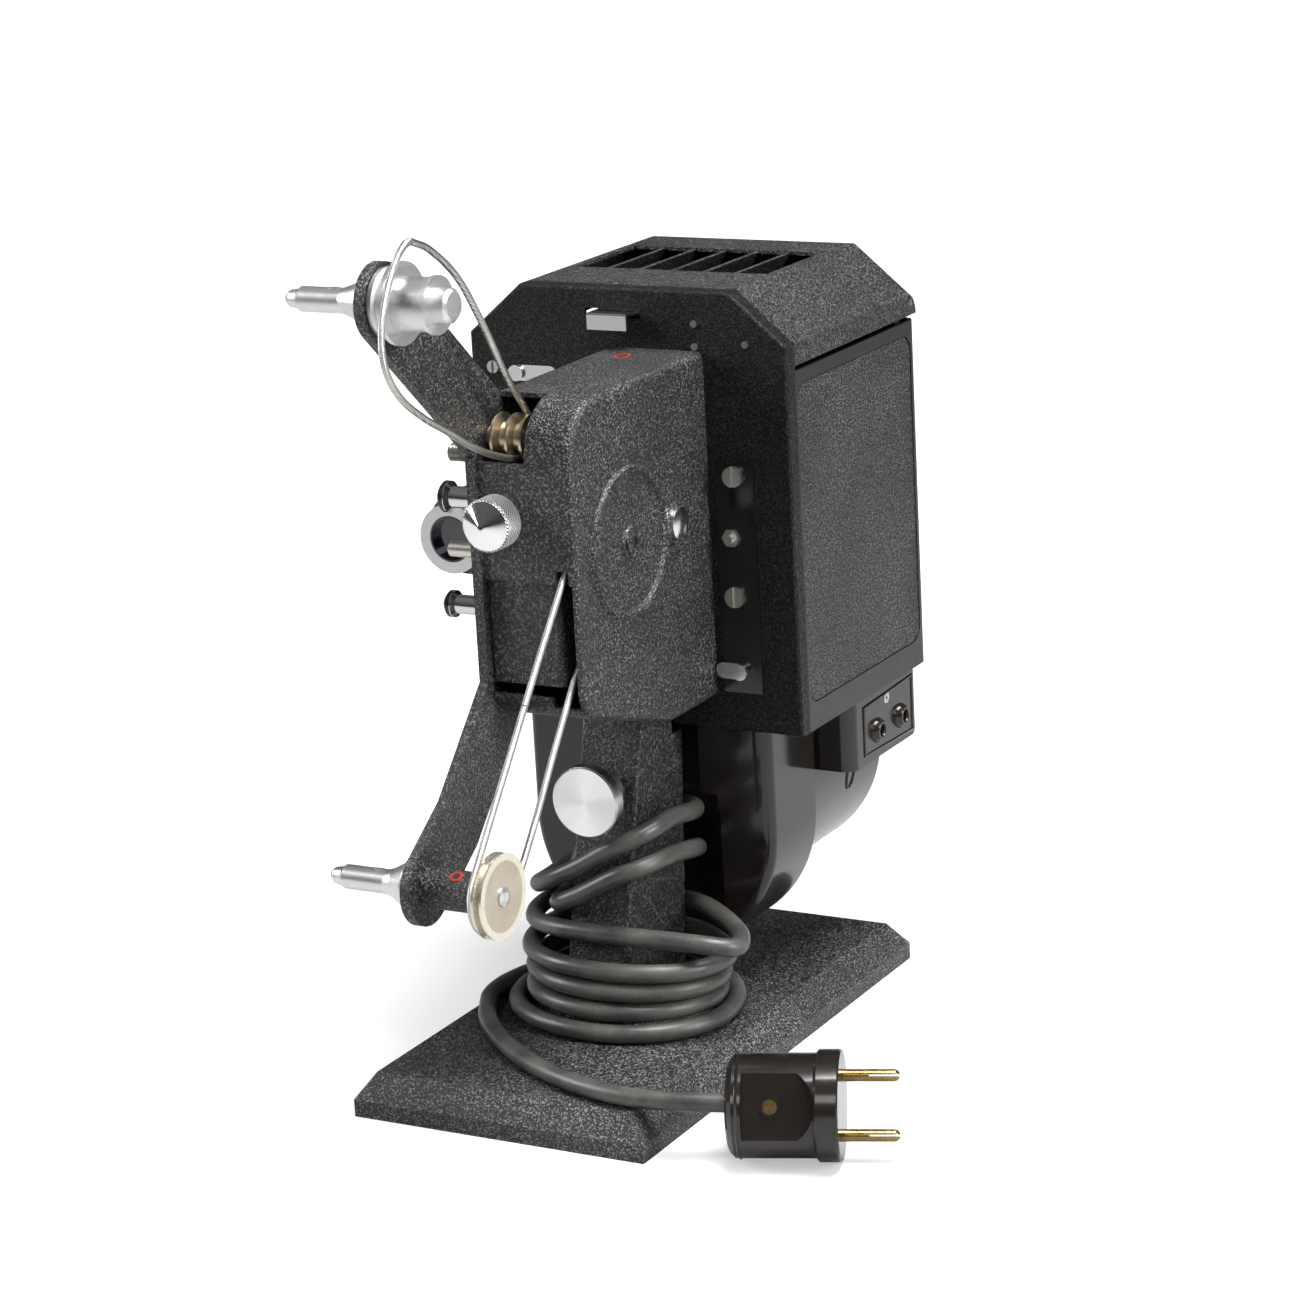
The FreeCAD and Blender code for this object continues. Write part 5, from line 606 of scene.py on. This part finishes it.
def cream_nickel():
    """Aged dull nickel with a brighter bevelled rim."""
    material, tree, shader = new_material("cream_nickel")
    place = rest_place(tree)
    distance = step_length(tree, *axis_steps(tree, place, "YZ", REEL_PULLEY_AXIS))
    cloud = noise(tree, place, 120.0, 4.0, 0.6)
    aged = mixed(tree, cloud, tint(0.36, 0.31, 0.23), tint(0.6, 0.55, 0.45))
    rim = between(tree, distance, REEL_FACE_R * MM, REEL_RIM_R * MM)
    touch = touched(tree, 0.34, 0.2, 0.2)
    rings = lathe_rings(tree, distance, 2600.0, 1.0)
    wire(
        tree, shader, Base_Color=mixed(tree, rim, aged, tint(0.7, 0.66, 0.56)), Metallic=0.85,
        Roughness=maths(tree, "MULTIPLY_ADD", rim, -0.14, touch["Roughness"]),
        Normal=bumped(tree, rings, 0.15, 0.00004),
    )
    return material


def roller_finish():
    """Bright metal between the roller's two black flanges."""
    material, tree, shader = new_material("roller_finish")
    place = axis_places(tree, rest_place(tree))["X"]
    after = maths(tree, "GREATER_THAN", place, ROLLER_START_X * MM)
    before = maths(tree, "LESS_THAN", place, ROLLER_END_X * MM)
    band = maths(tree, "MULTIPLY", after, before)
    touch = touched(tree, 0.0, 0.16, 0.12)
    rough = maths(tree, "ADD", touch["Roughness"], between(tree, band, 0.0, 1.0, 0.18, 0.12))
    wire(
        tree, shader, Base_Color=mixed(tree, band, grey(0.008), grey(0.62)), Metallic=band,
        Roughness=rough, Normal=touch["Normal"],
    )
    return material


def lens_finish():
    """A satin ring before a black barrel, and dark coated glass inside."""
    material, tree, shader = new_material("lens_finish")
    place = rest_place(tree)
    distance = step_length(tree, *axis_steps(tree, place, "XZ", LENS_AXIS))
    front = maths(tree, "LESS_THAN", axis_places(tree, place)["Y"], LENS_FRONT_Y * MM)
    outer = maths(tree, "GREATER_THAN", distance, LENS_RING_R * MM)
    ring = maths(tree, "MULTIPLY", front, outer)
    glass = maths(tree, "LESS_THAN", distance, LENS_GLASS_R * MM)
    black = mixed(tree, glass, tint(0.018, 0.018, 0.02), tint(0.012, 0.01, 0.022))
    touch = touched(tree, 0.3, 0.15, 0.1)
    smooth = between(tree, glass, 0.0, 1.0, 1.0, 0.08)
    wire(
        tree, shader, Base_Color=mixed(tree, ring, black, grey(0.62)), Metallic=ring,
        Roughness=maths(tree, "MULTIPLY", touch["Roughness"], smooth),
        Normal=touch["Normal"], Coat_Weight=glass,
    )
    return material


def bulb_finish():
    """Clear glass, a little smoky near its cap."""
    material, tree, shader = new_material("bulb_finish")
    height = axis_places(tree, rest_place(tree))["Z"]
    cap = between(tree, height, BULB_CAP_Z * MM, BULB_CLEAR_Z * MM, 1.0, 0.0)
    touch = touched(tree, 0.02, 0.1, 0.05)
    wire(
        tree, shader, Base_Color=mixed(tree, cap, tint(0.93, 0.94, 0.95), tint(0.5, 0.42, 0.3)),
        Roughness=maths(tree, "MULTIPLY_ADD", cap, 0.3, touch["Roughness"]),
        Normal=touch["Normal"], Transmission_Weight=0.95,
    )
    return material


def belt_wire():
    """Close wound spring wire, seen as fine bands of light along the belt."""
    material, tree, shader = new_material("spring_belt")
    place = rest_place(tree)
    parts = axis_places(tree, place)
    along = maths(tree, "MULTIPLY_ADD", parts["Y"], 0.62, maths(tree, "MULTIPLY", parts["Z"], 0.78))
    turns = maths(tree, "SINE", maths(tree, "MULTIPLY", along, 11000.0))
    cloud = noise(tree, place, 160.0, 3.0)
    wire(
        tree, shader, Metallic=1.0, Roughness=0.3, Normal=bumped(tree, turns, 0.5, 0.00012),
        Base_Color=mixed(tree, cloud, tint(0.34, 0.33, 0.31), tint(0.62, 0.61, 0.58)),
    )
    return material


def copper_windings():
    """Laminated iron with enamelled wire between its poles."""
    material, tree, shader = new_material("copper_windings")
    place = rest_place(tree)
    depth = axis_places(tree, place)["Y"]
    sheets = maths(tree, "SINE", maths(tree, "MULTIPLY", depth, 9000.0))
    patches = between(tree, noise(tree, place, 240.0), 0.4, 0.6)
    wire(
        tree, shader, Metallic=0.8, Roughness=0.42, Normal=bumped(tree, sheets, 0.4, 0.0001),
        Base_Color=mixed(tree, patches, grey(0.16, 0.05), tint(0.32, 0.14, 0.07)),
    )
    return material


# paints: size, depth, and wear and painted highlight specks of the crinkle, then its dark and pale
# tones and its shine
CASTING = crinkle("crinkle_casting", 1.5, 0.75, 0.75, grey(0.004), grey(0.2, 0.01))
# the house front's crinkle is a darker copy of the casting's, with less shine: painted shade where
# the cover shades the front
SHADED_FRONT_PAINT = crinkle("crinkle_front_shaded", 1.7, 0.6, 0.3, grey(0.0015), grey(0.1), 0.18)
SHEET_PAINT = crinkle("crinkle_sheet", 1.6, 0.8, 0.7, grey(0.002), tint(0.19, 0.195, 0.205), 0.42)
BASE_PAINT = crinkle("crinkle_base", 1.7, 0.8, 0.8, grey(0.003), tint(0.25, 0.255, 0.27))

# handled surfaces: main and rubbed tones, then roughness, its spread, and depth of scratches
SMOOTH_BLACK = handled("smooth_black", grey(0.003), grey(0.018), 0.34, 0.2, 0.15)
GLOSS_BLACK = handled("gloss_black", grey(0.003), grey(0.012), 0.14, 0.15, 0.08)
# near black paint for the flat discs in the oil holes: painted shade
HOLE_SHADE_PAINT = handled("dark_hole", grey(0.002), grey(0.004), 0.6, 0.2, 0.2)
CERAMIC = handled("ceramic", tint(0.7, 0.67, 0.6), tint(0.82, 0.8, 0.74), 0.4, 0.2, 0.2)
RED_PAINT = handled("red_paint", tint(0.26, 0.018, 0.012), tint(0.4, 0.04, 0.025), 0.35, 0.2, 0.2)
STEEL = metal("plain_steel", grey(0.3), grey(0.5), 0.28, 0.22, 0.2)
BRIGHT = metal("bright_aluminium", grey(0.62), grey(0.8), 0.34, 0.18, 0.1)
POLISHED = metal("polished_chrome", grey(0.7), grey(0.84), 0.18, 0.14, 0.05)
MIRROR = metal("mirror", grey(0.84), grey(0.9), 0.03, 0.08, 0.02)
NICKEL = metal("worn_nickel", tint(0.52, 0.5, 0.46), tint(0.74, 0.72, 0.68), 0.28, 0.2, 0.04)
YELLOW_NICKEL = metal("yellow_nickel", tint(0.46, 0.38, 0.26), tint(0.8, 0.74, 0.62), 0.28, 0.2, 0.1)
BRASS = metal("old_brass", tint(0.2, 0.13, 0.05), tint(0.62, 0.47, 0.24), 0.26, 0.35, 0.4)
RUBBER = cord_rubber()
RESIN = moulded_resin()

FINISHES = (
    (BASE_PAINT, ["base_plate"]),
    (SHADED_FRONT_PAINT, ["house_front"]),
    (SHEET_PAINT, ["side_panels", "lamphouse_lid"]),
    (CASTING, [
        "pedestal_column", "frame_plate", "upper_arm", "lower_arm", "drive_cover", "belt_box",
        "head_floor", "lens_holder",
    ]),
    (SMOOTH_BLACK, ["cord_gland", "house_wrap", "house_floor", "gate_block", "shutter_disc"]),
    (GLOSS_BLACK, ["strip_plate"]),
    (STEEL, [
        "column_screws", "tilt_pin", "tilt_screw", "tilt_lever", "hinge_pin", "condenser",
        "bearing_blocks", "shutter_shaft", "motor_rotor", "claw",
    ]),
    (NICKEL, ["arm_screws", "panel_screws", "film_guides"]),
    (BRIGHT, ["upper_spindle", "lower_spindle"]),
    (POLISHED, ["lid_latch", "pressure_plate", "clutch_lever", "top_lever", "push_button"]),
    (YELLOW_NICKEL, ["main_shaft", "twin_pulley"]),
    (BRASS, ["plug_contacts"]),
    (CERAMIC, ["lamp_socket"]),
    (MIRROR, ["reflector"]),
    (RESIN, ["plug_body", "motor_front_shell", "motor_rear_shell", "inlet_block"]),
    (spun_metal(), ["tilt_knob"]),
    (knurled_chrome(), ["inching_knob"]),
    (cream_nickel(), ["reel_pulley"]),
    (roller_finish(), ["upper_roller", "lower_roller"]),
    (lens_finish(), ["lens_barrel"]),
    (bulb_finish(), ["lamp"]),
    (copper_windings(), ["motor_stator"]),
    (belt_wire(), ["upper_belt", "lower_belt", "inner_belts"]),
)


def dress_nodes():
    for finish, names in FINISHES:
        for name in names:
            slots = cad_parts[name].data.materials
            slots.clear()
            slots.append(finish)


# small pieces that only the looks need


def join_rings(bm, pairs):
    """Faces between each pair of rings of points, all the way round."""
    for lower, upper in pairs:
        for index in range(len(lower)):
            after = (index + 1) % len(lower)
            bm.faces.new((lower[index], lower[after], upper[after], upper[index]))
    return bm


def lathed(profile, segments=48):
    """A closed ring of revolution about Z from pairs of height and radius."""
    bm = bmesh.new()
    rings = []
    for height, radius in profile:
        ring = []
        for index in range(segments):
            angle = 2 * math.pi * index / segments
            ring.append(bm.verts.new((radius * math.cos(angle), radius * math.sin(angle), height)))
        rings.append(ring)
    return join_rings(bm, zip(rings, rings[1:] + rings[:1]))


def stand_on(bm, place, direction):
    """Turns a piece made along Z to a direction and moves it to its place."""
    turn = Vector((0, 0, 1)).rotation_difference(Vector(direction)).to_matrix().to_4x4()
    bmesh.ops.transform(bm, matrix=Matrix.Translation(Vector(place)) @ turn, verts=bm.verts)
    return bm


def oil_ring(name, place, direction, radius):
    """A red painted rim round an oil hole, whose dark inside is painted shade on a flat black disc.
    """
    inner = radius - OIL_RIM_W
    top = radius - 0.35
    rim = lathed([(-0.3, radius), (0.12, radius), (0.22, top), (0.12, inner), (-0.3, inner)])
    mesh_piece(name, stand_on(rim, place, direction), RED_PAINT, "head")
    # a flat black disc inside the rim: painted shade standing in for the hole's dark inside
    hole_shade_disc = lathed([(-0.3, 0.01), (-0.3, inner + 0.05), (0.04, inner + 0.05), (0.04, 0.01)])
    mesh_piece(name + "_hole", stand_on(hole_shade_disc, place, direction), HOLE_SHADE_PAINT, "head")


def make_oil_holes():
    oil_ring("cover_oil_ring", COVER_OIL_PLACE, (0, 0, 1), COVER_OIL_R)
    way = Vector((0, math.sin(BOSS_OIL_LEAN), math.cos(BOSS_OIL_LEAN)))
    place = Vector((BOSS_OIL_X, *REEL_PULLEY_AXIS)) + way * BOSS_R
    oil_ring("boss_oil_ring", place, way, BOSS_OIL_R)


def make_boss_collar():
    collar = lathed([(-0.3, 5.7), (0.7, 5.5), (1.2, 5.0), (1.2, 4.3), (-0.3, 4.3)])
    stand_on(collar, COVER_BOSS_PLACE, (1, 0, 0))
    mesh_piece("cover_boss_collar", collar, CASTING, "head")


def make_inlet_border():
    """A low raised border round the inlet's holes, on its face that looks along X."""
    centre = [sum(values) / len(values) for values in zip(*INLET_CORNERS)]
    width = INLET_BORDER_W
    high = INLET_BORDER_H
    edge = high * 0.6
    profile = (
        (0.0, -SUNK), (0.0, edge), (width * 0.3, high), (width * 0.7, high), (width, -SUNK),
    )
    bm = bmesh.new()
    rings = []
    for shrink, rise in profile:
        ring = []
        for y, z in INLET_CORNERS:
            inner_y = y + math.copysign(shrink, centre[0] - y)
            inner_z = z + math.copysign(shrink, centre[1] - z)
            ring.append(bm.verts.new((INLET_X + rise, inner_y, inner_z)))
        rings.append(ring)
    join_rings(bm, zip(rings, rings[1:]))
    mesh_piece("inlet_border", bm, RESIN, "head")


def make_inlet():
    """The inlet's collars, border and eyelet."""
    for name, y in INLET_HOLES_Y:
        collar = lathed([
            (-SUNK, 2.2), (-SUNK, 4.6), (0.5, 4.4), (2.0, 3.5), (2.3, 3.2), (2.3, 2.5), (1.9, 2.2),
        ])
        stand_on(collar, (INLET_X, y, INLET_HOLES_Z), (1, 0, 0))
        mesh_piece("inlet_collar_" + name, collar, RESIN, "head")
    make_inlet_border()
    eyelet = lathed([(-SUNK, 0.7), (-SUNK, 2.1), (0.25, 2.0), (0.45, 1.5), (0.3, 0.8)])
    mesh_piece("inlet_eyelet", stand_on(eyelet, EYELET_PLACE, (1, 0, 0)), BRIGHT, "head")


def make_vent_rim():
    """A thin upright oval that lies on the rear shell's round side."""
    points = []
    for index in range(VENT_POINTS + 1):
        turn = 2 * math.pi * index / VENT_POINTS
        z = VENT_Z + VENT_HALF_H * math.sin(turn)
        x = SHELL_X + math.sqrt(SHELL_R ** 2 - min(z - SHELL_Z, 0.0) ** 2)
        points.append((x, VENT_Y + VENT_HALF_W * math.cos(turn), z))
    rim = round_curve("vent_rim", points, VENT_RIM_R, RESIN, facets=3, steps=12)
    rim.data.use_fill_caps = True
    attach(rim, "head")


# stage


def floor_paper():
    """Pale paper that runs into the white background without lighting the part from below."""
    material, tree, shader = new_material("floor")
    place = rest_place(tree)
    tone = mixed(tree, noise(tree, place, 3.0), grey(0.42), grey(0.46))
    wire(tree, shader, Base_Color=tone, Roughness=0.8)
    distance = step_length(tree, *axis_steps(tree, place, "XY", (0.0, 0.0)))
    away = between(tree, distance, GLOW_NEAR, GLOW_FAR)
    pale = mixed(tree, away, grey(0.45), grey(0.97))
    paper = add_node(tree, "ShaderNodeEmission", {"Color": pale})
    seen = add_node(tree, "ShaderNodeLightPath").outputs["Is Camera Ray"]
    glow = add_node(tree, "ShaderNodeMixShader", {0: seen, 2: paper.outputs[0]})
    both = add_node(tree, "ShaderNodeAddShader", {0: shader.outputs[0], 1: glow.outputs[0]})
    tree.links.new(both.outputs[0], tree.nodes["Material Output"].inputs["Surface"])
    return material


def make_floor():
    signs = ((-1, -1), (1, -1), (1, 1), (-1, 1))
    corners = [(x * FLOOR_HALF, y * FLOOR_HALF, 0.0) for x, y in signs]
    mesh = bpy.data.meshes.new("floor")
    mesh.from_pydata(corners, [], [(0, 1, 2, 3)])
    mesh.materials.append(floor_paper())
    link(bpy.data.objects.new("floor", mesh))


def make_world():
    """A dim room with a pale ceiling round the part, and a white background behind it."""
    world = bpy.data.worlds.new("studio")
    world.use_nodes = True
    tree = world.node_tree
    room = tree.nodes["Background"]
    way = add_node(tree, "ShaderNodeTexCoord").outputs["Generated"]
    rise = between(tree, axis_places(tree, way)["Z"], -0.1, 0.9)
    put(tree, room.inputs["Color"], mixed(tree, rise, grey(0.02), grey(0.45)))
    put(tree, room.inputs["Strength"], 0.45)
    white = add_node(tree, "ShaderNodeBackground", {"Color": grey(1.0)})
    seen = add_node(tree, "ShaderNodeLightPath").outputs["Is Camera Ray"]
    sides = {0: seen, 1: room.outputs[0], 2: white.outputs[0]}
    choice = add_node(tree, "ShaderNodeMixShader", sides)
    tree.links.new(choice.outputs[0], tree.nodes["World Output"].inputs["Surface"])
    bpy.context.scene.world = world


def make_lights():
    for name, place, size, power in LIGHTS:
        data = bpy.data.lights.new(name, "AREA")
        data.shape = "RECTANGLE"
        data.size, data.size_y = size
        data.energy = power
        lamp = link(bpy.data.objects.new(name, data))
        lamp.location = place
        aim = Vector(LIGHT_TARGET) - Vector(place)
        lamp.rotation_euler = aim.to_track_quat("-Z", "Y").to_euler()


make_camera()
make_cord()
dress_nodes()
make_oil_holes()
make_boss_collar()
make_inlet()
make_vent_rim()
make_floor()
make_world()
make_lights()
bpy.context.scene.view_settings.view_transform = "Standard"
